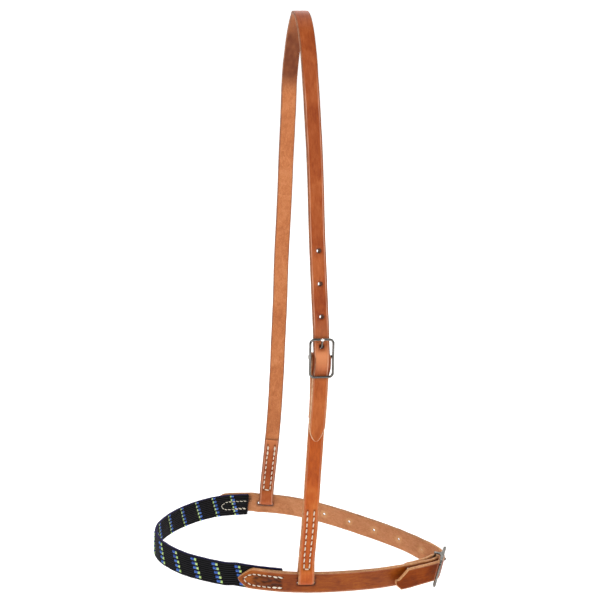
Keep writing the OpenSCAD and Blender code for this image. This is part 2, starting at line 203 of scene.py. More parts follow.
def run(s0, s1, o0, o1, step=0.8):
    n = max(1, math.ceil(abs(s1 - s0) / step))
    return [(s0 + (s1 - s0) * i / n, o0 + (o1 - o0) * float(ease(i / n))) for i in range(n + 1)]


def turn(sc, oc, r, a0, a1, n=40):
    return [(sc + r * math.cos(math.radians(a)), oc + r * math.sin(math.radians(a)))
            for a in (a0 + (a1 - a0) * i / n for i in range(1, n))]


def smooth(v, sigma, step):
    """Gaussian smoothing of rows, ends held."""
    if sigma <= 0:
        return v
    m = int(4 * sigma / step)
    k = np.exp(-0.5 * (np.arange(-m, m + 1) * step / sigma) ** 2)
    k /= k.sum()
    lo = 2 * v[0] - v[m:0:-1]
    hi = 2 * v[-1] - v[-2:-m - 2:-1]
    e = np.vstack([lo, v, hi])
    return np.stack([np.convolve(e[:, j], k, "valid") for j in range(v.shape[1])], 1)


class Path:
    """A strap's middle line, by arc length, with its frame."""

    def __init__(self, p, w, s, ring=False, sigma=0.8):
        d = np.concatenate([[0], np.cumsum(np.linalg.norm(np.diff(p, axis=0), axis=1))])
        keep = np.concatenate([[True], np.diff(d) > 1e-6])
        d, p, w, s = d[keep], p[keep], w[keep], np.asarray(s)[keep]
        step = 0.25
        n = int(d[-1] / step)
        t = np.linspace(0, d[-1], n + 1)
        p = np.stack([np.interp(t, d, p[:, j]) for j in range(3)], 1)
        w = np.stack([np.interp(t, d, w[:, j]) for j in range(3)], 1)
        p = smooth(p, sigma, step)
        tt = unit(np.gradient(p, axis=0))
        w = unit(w - tt * (tt * w).sum(1, keepdims=True))
        if ring:
            p = in_ring(p)
            tt, w = tt @ RMAT.T, w @ RMAT.T
        self.t, self.p, self.T, self.W, self.N = t, p, tt, w, np.cross(tt, w)
        self.s = np.interp(t, d, s)
        self.L = t[-1]

    def emb(self, t, y, n):
        t, y, n = (np.asarray(x, float) for x in np.broadcast_arrays(t, y, n))
        sh = t.shape
        t, y, n = t.ravel(), y.ravel(), n.ravel()
        f = [np.stack([np.interp(t, self.t, a[:, j]) for j in range(3)], 1)
             for a in (self.p, self.W, self.N)]
        q = f[0] + f[1] * y[:, None] + f[2] * n[:, None]
        ext = np.where(t > self.L, t - self.L, np.where(t < 0, t, 0))[:, None]
        tdir = np.where(t[:, None] > self.L, self.T[-1], self.T[0])
        return (q + ext * tdir).reshape(sh + (3,))

    def t_of(self, s, lo=0.0, hi=1.0):
        """Arc length where the unrolled distance is s, inside a share of the path."""
        a, b = int(lo * (len(self.t) - 1)), int(hi * (len(self.t) - 1)) + 1
        k = a + np.abs(self.s[a:b] - s).argmin()
        return float(self.t[k])


def hang_path(pts, sigma=0.8):
    s = np.array([q[0] for q in pts])
    o = np.array([q[1] for q in pts])
    p, t, w, n = hframe(s)
    return Path(p + n * o[:, None], w, s, sigma=sigma)


def ring_path(pts, sigma=0.8, f=rframe, dy=None):
    s = np.array([q[0] for q in pts])
    o = np.array([q[1] for q in pts])
    p, t, w, n = f(s)
    if dy is not None:
        p = p + w * dy(s)[:, None]
    return Path(p + n * o[:, None], w, s, ring=True, sigma=sigma)


def cheek_o(s):
    a, b = bar_s + 26, HL - loop_back - 8
    return base + lay + (-base) * float(ease((s - a) / (b - a)))


def tail_o(s):
    return cheek_o(s) + hang_t + 0.8


cut_s = bar_s + half            # the crown leather is split under the end bar
crown_pts = (run(loop_back + 6, 26, -lay, -lay) + run(24, 13, -lay, -U, 0.5)
             + [(8, -U)] + turn(U, 0, U, 270, 90) + [(8, U)] + run(13, 24, U, lay, 0.5)
             + run(27, loop_back + 10, lay, lay) + run(loop_back + 20, HA - 120, lay, 0)
             + run(HA - 110, HA + 110, 0, 0) + run(HA + 120, HA + 180, 0, 0)
             + run(HA + 190, bar_s - half - 4, 0, bar_o + under)
             + run(bar_s - half + 3, bar_s - 5, bar_o + under, bar_o + over, 0.5)
             + run(bar_s + 6, bar_s + half - 3, bar_o + over, bar_o + under, 0.5)
             + [(bar_s + half + 1.5, bar_o + under), (tie, bar_o + under)])
tail_pts = ([(tie + 1, bar_o + under)] + run(tie + 4, tie + 20, bar_o + under, tail_o(tie + 20))
            + [(s, tail_o(s)) for s in np.arange(tie + 21, tie + crown_tail_len + 0.01, 1.0)])
crown_all = hang_path(crown_pts + tail_pts, 1.2)
cheek_path = hang_path(
    run(bar_s + 62, bar_s + 24, base - lay, base - lay)
    + run(bar_s + 22, bar_s + 5, base - lay, bar_o - fold, 0.5)
    + turn(bar_s, bar_o, fold, 270, 90)
    + run(bar_s + 3, bar_s + 14.5, bar_o + fold, base + lay, 0.5)
    + run(bar_s + 18, bar_s + 25, base + lay, base + lay)
    + [(s, cheek_o(s)) for s in np.arange(bar_s + 26, HL - loop_back - 8, 1.0)]
    + run(HL - loop_back, HL - 27, lay, lay)
    + run(HL - 24, HL - 13, lay, U, 0.5) + [(HL - 8, U)]
    + turn(HL - U, 0, U, 90, -90) + [(HL - 8, -U)]
    + run(HL - 13, HL - 24, -U, -lay, 0.5) + run(HL - 27, HL - loop_back - 6, -lay, -lay))
nose_path = ring_path(run(band_a + 1.6, tip_n - 18, 0, 0) + run(tip_n - 12, tip_n - 1, 0, -nl)
                      + run(tip_n + 6, band_b, -nl, -nl), 1.5,
                      dy=lambda s: -1.7 * ease((band_a + 46 - s) / 46))
near_path = ring_path(run(tip_n, RL - 28, 0, 0) + run(RL - 24, RL - 5, 0, chin_fold, 0.5)
                      + turn(RL, 0, chin_fold, 90, -90)
                      + run(RL - 5, RL - 22, -chin_fold, -2 * cl, 0.5)
                      + run(RL - 26, RL - 41, -2 * cl, -2 * cl))


def billet_path():
    a = np.array(run(start_f, band_a + 2, nl, nl) + run(band_a - 2, band_a - 14, nl, 0, 0.5)
                 + run(band_a - 18, RC.c[2] + 0.5, 0, 0))
    b = np.array([(s, 0.0) for s in np.arange(0.5, chin_tie + chin_tail_len, 0.8)])
    pa, _, _, na = rframe(a[:, 0])
    pb = bframe(b[:, 0])[0]
    p = np.vstack([pa + na * a[:, 1:2], pb])
    w = np.tile([0.0, 0, -1], (len(p), 1))
    # the sewn end rides a little higher than the woven band
    p[:len(a), 2] += 1.5 * ease((a[:, 0] - band_a - 2) / 26)
    s = np.concatenate([a[:, 0], 10000 + b[:, 0]])
    return Path(p, w, s, ring=True, sigma=1.0)


billet_all = billet_path()
billet_ring_share = float((billet_all.s < 5000).sum()) / len(billet_all.s)

rng = np.random.default_rng(7)


def waves(seed, n, lo, hi, amp):
    """A smooth, repeatable surface wobble as a sum of sines."""
    r = np.random.default_rng(seed)
    k = 2 * math.pi / r.uniform(lo, hi, n)
    a = r.uniform(0, 2 * math.pi, n)
    ph = r.uniform(0, 2 * math.pi, n)
    kx, ky = k * np.cos(a), k * np.sin(a)

    def f(t, y):
        t, y = np.broadcast_arrays(np.asarray(t, float), np.asarray(y, float))
        out = np.zeros(t.shape)
        for i in range(n):
            out += np.sin(kx[i] * t + ky[i] * y + ph[i])
        return out * amp / math.sqrt(n)
    return f


# ------------------------------------------------------------------ meshes
def new_object(name, verts_mm, faces, mats, face_mat=None, attrs=None, smooth_shade=True):
    me = bpy.data.meshes.new(name)
    vm = np.asarray(verts_mm, float)
    low = vm[:, 2] < -525
    vm = np.where(low[:, None], lean(vm), vm)
    me.from_pydata([tuple(v) for v in vm * 0.001], [], faces)
    me.validate(verbose=False)
    for m in mats:
        me.materials.append(m)
    if face_mat is not None and len(face_mat) == len(me.polygons):
        me.polygons.foreach_set("material_index", np.asarray(face_mat, np.int32))
    me.polygons.foreach_set("use_smooth", [smooth_shade] * len(me.polygons))
    for k, v in (attrs or {}).items():
        v = np.asarray(v, np.float32)
        if v.ndim == 2:
            a = me.attributes.new(k, "FLOAT_VECTOR", "POINT")
            a.data.foreach_set("vector", v.ravel())
        else:
            a = me.attributes.new(k, "FLOAT", "POINT")
            a.data.foreach_set("value", v)
    me.update()
    o = bpy.data.objects.new(name, me)
    scene.collection.objects.link(o)
    return o


def t_grid(t0, t1, step, zones=(), windows=()):
    """Stations from t0 to t1: exact cells in windows (a, b, n), finer steps in zones (a, b, step)."""
    out = []
    cur = t0

    def fill(a, b):
        if b - a < 1e-6:
            return
        pts, t = [a], a
        while t < b:
            st = step
            for za, zb, zs in zones:
                if za - 3 * zs <= t <= zb:
                    st = min(st, zs)
                elif t < za:
                    st = min(st, max(zs, (za - t) * 0.5))
            t += st
            pts.append(t)
        pts = np.array(pts)
        pts = a + (pts - a) * (b - a) / (pts[-1] - a)
        out.extend(pts[:-1])
    for a, b, n in sorted(windows):
        fill(cur, a)
        out.extend(np.linspace(a, b, n + 1)[:-1])
        cur = b
    fill(cur, t1)
    out.append(t1)
    return np.array(out)


class Strap:
    """A leather strap lofted along a path: grain face, cut edges and flesh face."""

    def __init__(self, name, path, t0, t1, w, th, ylines, step=2.4, zones=(), holes=(),
                 slots=(), hw=None, relief=None, wob=0.0, seed=1, rc=0.95, tone_and_shade=None,
                 close0=True, close1=True, crease=True, yc=None, emark=None, glow=None,
                 rows=(), halo_r=0.0):
        self.path, self.h, self.th, self.rc, self.crease = path, w / 2, th, rc, crease
        self.hw = hw or (lambda t: (np.full(np.shape(t), w / 2), np.full(np.shape(t), w / 2)))
        self.relief = relief
        self.wob_amp = wob
        self.wob_f = waves(seed, 5, 22, 70, wob)
        self.fine_f = waves(seed + 50, 9, 3.5, 9, 0.03)
        ys = np.array(ylines, float)
        ys = np.concatenate([-ys[:0:-1], ys])
        self.fr = ys / ys.max()
        self.ymax = ys.max()
        ng = len(ys)
        windows, cuts = [], []
        holes = [(tuple(q) + (0.0,))[:4] for q in holes]
        for c, r1, r2, sk in holes:
            b = 4.2 if w < 20 else 4.8
            cell = ys[ys >= 0][1] - ys[ys >= 0][0]
            n = int(round(2 * b / cell))
            windows.append((c - b, c + b, n))
            cuts.append(("hole", c, b, b, r1, r2, sk))
        for c, la, lb, b in slots:
            a = la / 2 + 2.1
            cell = ys[ys >= 0][1] - ys[ys >= 0][0]
            n = int(round(2 * a / cell))
            windows.append((c - a, c + a, n))
            cuts.append(("slot", c, a, b, la, lb, 0.0))
        tg = t_grid(t0, t1, step, zones, windows)
        nt = len(tg)
        # loop: grain (ng), corner + edge (ne), flesh (ng), edge (ne)
        ea = np.radians([18, 45, 72])
        ne = 8
        V, ST, MK = [], [], []
        T = tg[:, None]
        hl, hr = self.hw(tg)          # half widths towards -y and +y
        hl, hr = hl[:, None], hr[:, None]
        rcl, rcr = np.minimum(rc, hl * 0.6), np.minimum(rc, hr * 0.6)
        fr = self.fr[None, :]
        yg = np.where(fr < 0, fr * (hl - rcl), fr * (hr - rcr))
        edge_room = np.where(fr < 0, hl + yg, hr - yg)
        ycv = (yc(tg) if yc else np.zeros(nt))[:, None]
        yg = yg + ycv
        n_g = th / 2 + self.grain(T, yg, edge_room)
        n_f = -th / 2 + self.flesh(T, yg)
        shift = self.shift(T, yg)
        g = path.emb(np.broadcast_to(T, yg.shape), yg, n_g + shift)
        f = path.emb(np.broadcast_to(T, yg.shape), yg, n_f + shift)
        rf = 0.75

        def edge(sign, hh, r, row_n_g, row_n_f, sh):
            rr = np.minimum(rf, r)
            k = []
            for a in ea:
                k.append((hh - r + r * math.sin(a), row_n_g - r + r * math.cos(a)))
            mid = 0.10
            z1, z2 = row_n_g - r, row_n_f + rr
            k.append((hh + mid * 0.8, z1 * 0.67 + z2 * 0.33))
            k.append((hh + mid * 0.8, z1 * 0.33 + z2 * 0.67))
            for a in ea[::-1]:
                k.append((hh - rr + rr * math.sin(a), row_n_f + rr - rr * math.cos(a)))
            y = np.hstack([q[0] for q in k]) * sign + ycv
            n = np.hstack([q[1] for q in k])
            wv = self.edge_f(T, n * 2 + sign * 9)
            return path.emb(np.broadcast_to(T, y.shape), y + sign * wv, n + sh), y, n
        self.edge_f = waves(seed + 90, 6, 6, 30, 0.05)
        er, yr, nr_ = edge(1, hr, rcr, n_g[:, -1:], n_f[:, -1:], shift[:, -1:])
        el, yl, nl_ = edge(-1, hl, rcl, n_g[:, :1], n_f[:, :1], shift[:, :1])
        loop = np.concatenate([g, er, f[:, ::-1], el[:, ::-1]], 1)
        nloop = loop.shape[1]
        stv = np.zeros((nt, nloop, 3))
        stv[..., 0] = T
        stv[:, :ng, 1], stv[:, :ng, 2] = yg, 1
        stv[:, ng:ng + ne, 1], stv[:, ng:ng + ne, 2] = yr, nr_ / th
        stv[:, ng + ne:2 * ng + ne, 1], stv[:, ng + ne:2 * ng + ne, 2] = yg[:, ::-1], -1
        stv[:, 2 * ng + ne:, 1], stv[:, 2 * ng + ne:, 2] = yl[:, ::-1], (nl_ / th)[:, ::-1]
        mk = np.zeros((nt, nloop))
        if tone_and_shade is not None:
            mk[:, :ng] = tone_and_shade(T, yg, 1)
            mk[:, ng + ne:2 * ng + ne] = tone_and_shade(T, yg, -1)[:, ::-1]
        # painted shade along the sewn rows and round the awl holes
        if rows:
            mk[:, :ng] = np.clip(mk[:, :ng] + sewn_shade(rows, T, yg), 0, 1)
        if emark is not None:
            em = emark(tg)[:, None]
            mk[:, ng:ng + ne] = em
            mk[:, 2 * ng + ne:] = em
        highlight_and_pale_fibre = np.zeros((nt, nloop))
        if glow is not None:
            highlight_and_pale_fibre[:, :ng] = glow(T, yg)
        if halo_r > 0:
            hv = np.zeros(yg.shape)
            for c, r1, r2, sk in holes:
                r = np.hypot(T - c, yg)
                hv = np.maximum(hv, 0.95 * np.exp(-(np.maximum(r - 1.5, 0) / halo_r) ** 2))
            highlight_and_pale_fibre[:, ng + ne:2 * ng + ne] = hv[:, ::-1]
        verts = [loop.reshape(-1, 3)]
        sts = [stv.reshape(-1, 3)]
        mks, hls = [mk.ravel()], [highlight_and_pale_fibre.ravel()]
        nv = nt * nloop
        idx = np.arange(nv).reshape(nt, nloop)
        skip = np.zeros((nt - 1, nloop), bool)
        faces, fmat = [], []
        extra_v, extra_st, extra_mk, extra_h = [], [], [], []

        def add(p, st, m, hv):
            nonlocal nv
            k = nv + np.arange(len(p))
            extra_v.append(p)
            extra_st.append(st)
            extra_mk.append(np.full(len(p), m) if np.isscalar(m) else m)
            extra_h.append(np.full(len(p), hv) if np.isscalar(hv) else hv)
            nv += len(p)
            return k

        for kind, c, a, b, p1, p2, sk in cuts:
            i0 = int(np.abs(tg - (c - a)).argmin())
            i1 = int(np.abs(tg - (c + a)).argmin())
            j0 = int(np.abs(ys + b).argmin())
            j1 = int(np.abs(ys - b).argmin())
            skip[i0:i1, j0:j1] = True
            fj0, fj1 = 2 * ng + ne - 1 - j1, 2 * ng + ne - 1 - j0
            skip[i0:i1, fj0:fj1] = True
            ring = ([(i, j0) for i in range(i0, i1)] + [(i1, j) for j in range(j0, j1)]
                    + [(i, j1) for i in range(i1, i0, -1)] + [(i0, j) for j in range(j1, j0, -1)])
            rt = np.array([tg[i] for i, j in ring])
            ry = np.array([yg[i, j] for i, j in ring])
            gi = np.array([idx[i, j] for i, j in ring])
            fi = np.array([idx[i, 2 * ng + ne - 1 - j] for i, j in ring])
            m = len(ring)
            if kind == "hole":
                ang = np.arctan2(ry / b, (rt - c) / a)
                # equal steps round the hole, in step with the window's corners
                per = np.unwrap(ang)
                ht, hy = np.cos(per), np.sin(per)

                def shape(r, off=0.0):
                    return c + off.real + r * ht, off.imag + r * hy
                # third value of each level: painted shade on grain rims; on the flesh rims of holes, the pale fibre
                # ring
                levels_g = [(p1 + 1.7, 0.0, 0.0), (p1 + 0.8, -0.10, 0.0), (p1 + 0.28, -0.26, 0.15),
                            (p1, -0.62, 0.6)]
                levels_f = [(p2 + 2.1, 0.0, 0.75), (p2 + 1.25, 0.16, 0.95), (p2 + 0.5, 0.26, 1.0),
                            (p2, 0.02, 0.8)]
                if sk:
                    levels_g = [(p1 + 0.55, 0.0, 0.3), (p1 + 0.22, -0.20, 0.8), (p1, -0.62, 1.6)]
                    levels_f = [(p2 + 0.55, 0.0, 0.3), (p2 + 0.22, 0.22, 0.5), (p2, 0.5, 0.8)]
            else:
                la, lb = p1 / 2, p2 / 2
                d = np.concatenate([[0], np.cumsum(np.hypot(np.diff(np.append(rt, rt[0])),
                                                            np.diff(np.append(ry, ry[0]))))])
                u = d[:-1] / d[-1]

                def stadium(u, r):
                    # rounded rectangle by share of its outline, from the corner (-a, -b)
                    cr = min(2.2, lb) + r
                    xa, xb = la + r, lb + r
                    pts = []
                    for cx, cy, q0 in ((xa - cr, -xb + cr, -90), (xa - cr, xb - cr, 0),
                                       (-xa + cr, xb - cr, 90), (-xa + cr, -xb + cr, 180)):
                        for q in range(0, 91, 10):
                            an = math.radians(q0 + q)
                            pts.append((cx + cr * math.cos(an), cy + cr * math.sin(an)))
                    pts = np.array(pts)
                    pts = np.roll(pts, 5, axis=0)     # start in the (-a, -b) corner
                    pts = np.vstack([pts, pts[:1]])
                    dd = np.concatenate([[0], np.cumsum(np.hypot(*np.diff(pts, axis=0).T))])
                    return (c + np.interp(u * dd[-1], dd, pts[:, 0]),
                            np.interp(u * dd[-1], dd, pts[:, 1]))

                def shape(r, off=0.0):
                    return stadium(u, r)
                # third value of each level: painted shade on both rims of the slot
                levels_g = [(0.9, -0.04, 0.7), (0.35, -0.16, 1.3), (0.0, -0.5, 1.6)]
                levels_f = [(0.9, 0.0, 0.5), (0.35, 0.14, 1.0), (0.0, 0.45, 1.0)]

            def side(levels, start, top):
                prev = start
                for r, dn, hv in levels:
                    ht_, hy_ = shape(r, -sk if top else sk)
                    room = np.minimum(self.h - np.abs(hy_), 9)
                    sh = self.shift(ht_, hy_)
                    if top:
                        n = th / 2 + self.grain(ht_, hy_, room) + dn + sh
                    else:
                        n = -th / 2 + self.flesh(ht_, hy_) - dn + sh
                    p = path.emb(ht_, hy_, n)
                    st = np.stack([ht_, hy_, np.full(m, 1.0 if top else -1.0)], 1)
                    # painted shade on the rims; pale fibre ring on the flesh side of holes
                    dark = hv * 0.6 if top else hv * float(kind == "slot")
                    k = add(p, st, dark, hv if not top and kind == "hole" else 0.0)
                    for q in range(m):
                        q2 = (q + 1) % m
                        quad = [prev[q], prev[q2], k[q2], k[q]]
                        faces.append(quad if not top else quad[::-1])
                        fmat.append(0 if top else 2)
                    prev = k
                return prev
            # orientation: ring runs +t at -y first, which is clockwise seen from the grain side or not
            top = side(levels_g, gi, True)
            bot = side(levels_f, fi, False)
            r_in = 0.0 if kind == "slot" else None
            mid_levels = (0.35, 0.68)
            prev = top
            for q_ in mid_levels:
                rr = (p1 * (1 - q_) + p2 * q_) if kind == "hole" else 0.0
                ht_, hy_ = shape(rr, sk * (2 * q_ - 1))
                n = th / 2 * (1 - 2 * q_) + self.shift(ht_, hy_)
                p = path.emb(ht_, hy_, n)
                # painted shade on the walls inside holes and slots
                k = add(p, np.stack([ht_, hy_, np.full(m, 0.0)], 1), 0.9, 0.0)
                for q in range(m):
                    q2 = (q + 1) % m
                    faces.append([prev[q], k[q], k[q2], prev[q2]][::-1] if False else
                                 [prev[q2], prev[q], k[q], k[q2]][::-1])
                    fmat.append(1)
                prev = k
            for q in range(m):
                q2 = (q + 1) % m
                faces.append([prev[q2], prev[q], bot[q], bot[q2]][::-1])
                fmat.append(1)
        # body quads
        ii, kk = np.nonzero(~skip)
        k2 = (kk + 1) % nloop
        quads = np.stack([idx[ii, kk], idx[ii, k2], idx[ii + 1, k2], idx[ii + 1, kk]], 1)
        reg = np.where(kk < ng - 1, 0, np.where(kk < ng + ne, 1,
                       np.where(kk < 2 * ng + ne - 1, 2, 1)))
        faces = quads.tolist() + faces
        fmat = reg.tolist() + fmat
        # end caps: strips joining the grain row to the flesh row
        for end, i in ((0, 0), (1, nt - 1)):
            if (end == 0 and not close0) or (end == 1 and not close1):
                continue
            lp = idx[i]
            a = list(lp[:ng])
            e1 = list(lp[ng:ng + ne])
            b_ = list(lp[ng + ne:2 * ng + ne])[::-1]
            e2 = list(lp[2 * ng + ne:])[::-1]
            sgn = -1.0 if end == 0 else 1.0
            # one bulged row in the middle of the cut
            tm = tg[i] + sgn * 0.32
            ym = yg[i]
            am = path.emb(np.full(ng, tg[i] + sgn * 0.30), ym * 0.992, n_g[i] * 0.45 + shift[i])
            bm = path.emb(np.full(ng, tg[i] + sgn * 0.30), ym * 0.992, n_f[i] * 0.45 + shift[i])
            ka = add(am, np.stack([np.full(ng, tm), ym, np.full(ng, 0.3)], 1), 0.0, 0.0)
            kb = add(bm, np.stack([np.full(ng, tm), ym, np.full(ng, -0.3)], 1), 0.0, 0.0)
            rows = [a, list(ka), list(kb), b_]
            for r0, r1 in zip(rows, rows[1:]):
                for q in range(ng - 1):
                    quad = [r0[q], r0[q + 1], r1[q + 1], r1[q]]
                    faces.append(quad if end == 0 else quad[::-1])
                    fmat.append(1)
            left = [rows[0][0]] + [e for e in e2] + [rows[3][0]]
            right = [rows[0][-1]] + [e for e in e1] + [rows[3][-1]]
            polyl = left + [kb[0], ka[0]]
            polyr = right + [kb[-1], ka[-1]]
            faces.append(polyl[::-1] if end == 0 else polyl)
            fmat.append(1)
            faces.append(polyr if end == 0 else polyr[::-1])
            fmat.append(1)
        self.verts = np.vstack(verts + extra_v)
        self.faces, self.fmat = faces, fmat
        self.attrs = {"st": np.vstack(sts + extra_st), "tone_and_shade": np.concatenate(mks + extra_mk),
                      "highlight_and_pale_fibre": np.concatenate(hls + extra_h)}
        self.name = name

    def shift(self, t, y):
        return self.wob_f(t, np.asarray(y) * 0.35)

    def grain(self, t, y, room):
        d = self.fine_f(t, y)
        if self.crease:
            d = d - 0.26 * np.exp(-((room - 1.65) / 0.33) ** 2)
            d = d - 0.16 * ease((1.5 - room) / 1.0)
        if self.relief is not None:
            d = d + self.relief(t, y, 1)
        return d

    def flesh(self, t, y):
        d = self.fine_f(t + 200, y) * 1.4
        if self.relief is not None:
            d = d + self.relief(t, y, -1)
        return d

    def on(self, t, y, side=1, lift=0.0):
        """A point on the grain (1) or flesh (-1) face."""
        t, y = np.atleast_1d(np.asarray(t, float)), np.atleast_1d(np.asarray(y, float))
        room = self.h - np.abs(y)
        n = (self.th / 2 + self.grain(t, y, room)) if side > 0 else (-self.th / 2 + self.flesh(t, y))
        return self.path.emb(t, y, n + self.shift(t, y) + side * lift)

    def build(self, mats):
        return new_object(self.name, self.verts, self.faces, mats, self.fmat, self.attrs)


def join_parts(parts):
    vs, fs, at, k = [], [], [], 0
    for v, f, a in parts:
        vs.append(v)
        fs.extend([[i + k for i in q] for q in f])
        at.append(a)
        k += len(v)
    return np.vstack(vs), fs, np.concatenate(at)


def tube(pts, rx, rn, nrm, sides=10, twist=None, cap=True, lobe=0.0):
    """A tube through pts with half widths rx (across) and rn (along nrm), twisted and lobed."""
    pts = np.asarray(pts, float)
    m = len(pts)
    t = unit(np.gradient(pts, axis=0))
    nrm = np.broadcast_to(np.asarray(nrm, float), pts.shape)
    b = unit(np.cross(t, nrm))
    n = np.cross(b, t)
    rx, rn = np.broadcast_to(rx, (m,)), np.broadcast_to(rn, (m,))
    ph = np.linspace(0, 2 * math.pi, sides, endpoint=False)
    tw = np.zeros(m) if twist is None else np.asarray(twist)
    prof = 1 + lobe * np.cos(2 * (ph[None, :] - tw[:, None]))
    v = (pts[:, None, :] + b[:, None, :] * (rx[:, None] * np.cos(ph) * prof)[..., None]
         + n[:, None, :] * (rn[:, None] * np.sin(ph) * prof)[..., None])
    v = v.reshape(-1, 3)
    f = []
    for i in range(m - 1):
        for j in range(sides):
            j2 = (j + 1) % sides
            f.append([i * sides + j, i * sides + j2, (i + 1) * sides + j2, (i + 1) * sides + j])
    if cap:
        v = np.vstack([v, pts[0], pts[-1]])
        a, c = len(v) - 2, len(v) - 1
        for j in range(sides):
            j2 = (j + 1) % sides
            f.append([a, j2, j])
            f.append([c, (m - 1) * sides + j, (m - 1) * sides + j2])
    along = np.repeat(np.concatenate([[0], np.cumsum(np.linalg.norm(np.diff(pts, axis=0), axis=1))]), sides)
    if cap:
        along = np.append(along, [0, along[-1]])
    return v, f, along


def stitch(p0, p1, nrm, r=0.42, rise=0.30, seed=0):
    """One thread stitch that dives into its two holes."""
    p0, p1, nrm = np.asarray(p0, float), np.asarray(p1, float), unit(nrm)
    u = np.linspace(0, 1, 11)
    length = np.linalg.norm(p1 - p0)
    prof = np.sin(math.pi * np.clip((u - 0.02) / 0.96, 0, 1)) ** 0.42
    hgt = -0.5 + (0.5 + rise) * prof
    pts = p0 + (p1 - p0) * u[:, None] + nrm * hgt[:, None]
    rad = r * (0.72 + 0.28 * np.sin(math.pi * u) ** 0.6)
    tw = seed * 1.7 + 2 * math.pi * u * length / 2.6
    return tube(pts, rad, rad * 0.86, nrm, 10, tw, True, 0.15)


def stitches(points, normals, fill=0.74, r=0.42, seed=3, slant=0.25, cross=None):
    """Stitches between the successive holes."""
    g = np.random.default_rng(seed)
    out = []
    for i in range(len(points) - 1):
        a, b = points[i], points[i + 1]
        d = b - a
        k = (1 - fill) / 2
        j = g.normal(0, 0.10, 3)
        n = normals[i]
        side = unit(np.cross(n, d))
        lean = side * slant
        out.append(stitch(a + d * k + lean + j * 0.5, b - d * k - lean + j * 0.5, n,
                          r * g.uniform(0.94, 1.08), 0.30, i + seed))
    return out


def sewn_shade(sets, t, y, row=0.34, hole=1.0):
    """Painted shade along the sewn rows and round the awl holes."""
    t, y = np.broadcast_arrays(np.asarray(t, float), np.asarray(y, float))
    out = np.zeros(t.shape)
    for h in sets:
        h = np.array(h)
        for a, b in zip(h, h[1:]):
            d = b - a
            u = np.clip(((t - a[0]) * d[0] + (y - a[1]) * d[1]) / (d @ d), 0, 1)
            r2 = (t - a[0] - d[0] * u) ** 2 + (y - a[1] - d[1] * u) ** 2
            out = np.maximum(out, row * np.exp(-r2 / 1.9))
        for a in h:
            r2 = (t - a[0]) ** 2 + (y - a[1]) ** 2
            out = np.maximum(out, hole * np.exp(-r2 / 1.15))
    return out


def lay_holes(poly, pitch):
    """Hole places at an even pitch along a polyline of (t, y)."""
    poly = np.array(poly, float)
    d = np.concatenate([[0], np.cumsum(np.hypot(*np.diff(poly, axis=0).T))])
    n = max(1, int(round(d[-1] / pitch)))
    q = np.linspace(0, d[-1], n + 1)
    return np.stack([np.interp(q, d, poly[:, 0]), np.interp(q, d, poly[:, 1])], 1)


def stitch_relief(hole_sets, depth=0.28, wid=0.75):
    """Leather pulled down along sewn rows, most at the holes."""
    pts = [np.array(h) for h in hole_sets]

    def f(t, y, side):
        t, y = np.broadcast_arrays(np.asarray(t, float), np.asarray(y, float))
        out = np.zeros(t.shape)
        for h in pts:
            for a, b in zip(h, h[1:]):
                if t.max() < min(a[0], b[0]) - 4 or t.min() > max(a[0], b[0]) + 4:
                    continue
                d = b - a
                u = np.clip(((t - a[0]) * d[0] + (y - a[1]) * d[1]) / (d @ d), 0, 1)
                r2 = (t - a[0] - d[0] * u) ** 2 + (y - a[1] - d[1] * u) ** 2
                out = np.minimum(out, -depth * 0.55 * np.exp(-r2 / (2 * wid * wid)))
            for a in h:
                r2 = (t - a[0]) ** 2 + (y - a[1]) ** 2
                out = out - depth * 0.45 * np.exp(-r2 / (2 * 0.6 * 0.6))
        return out * (1 if side > 0 else 0.0)
    return f


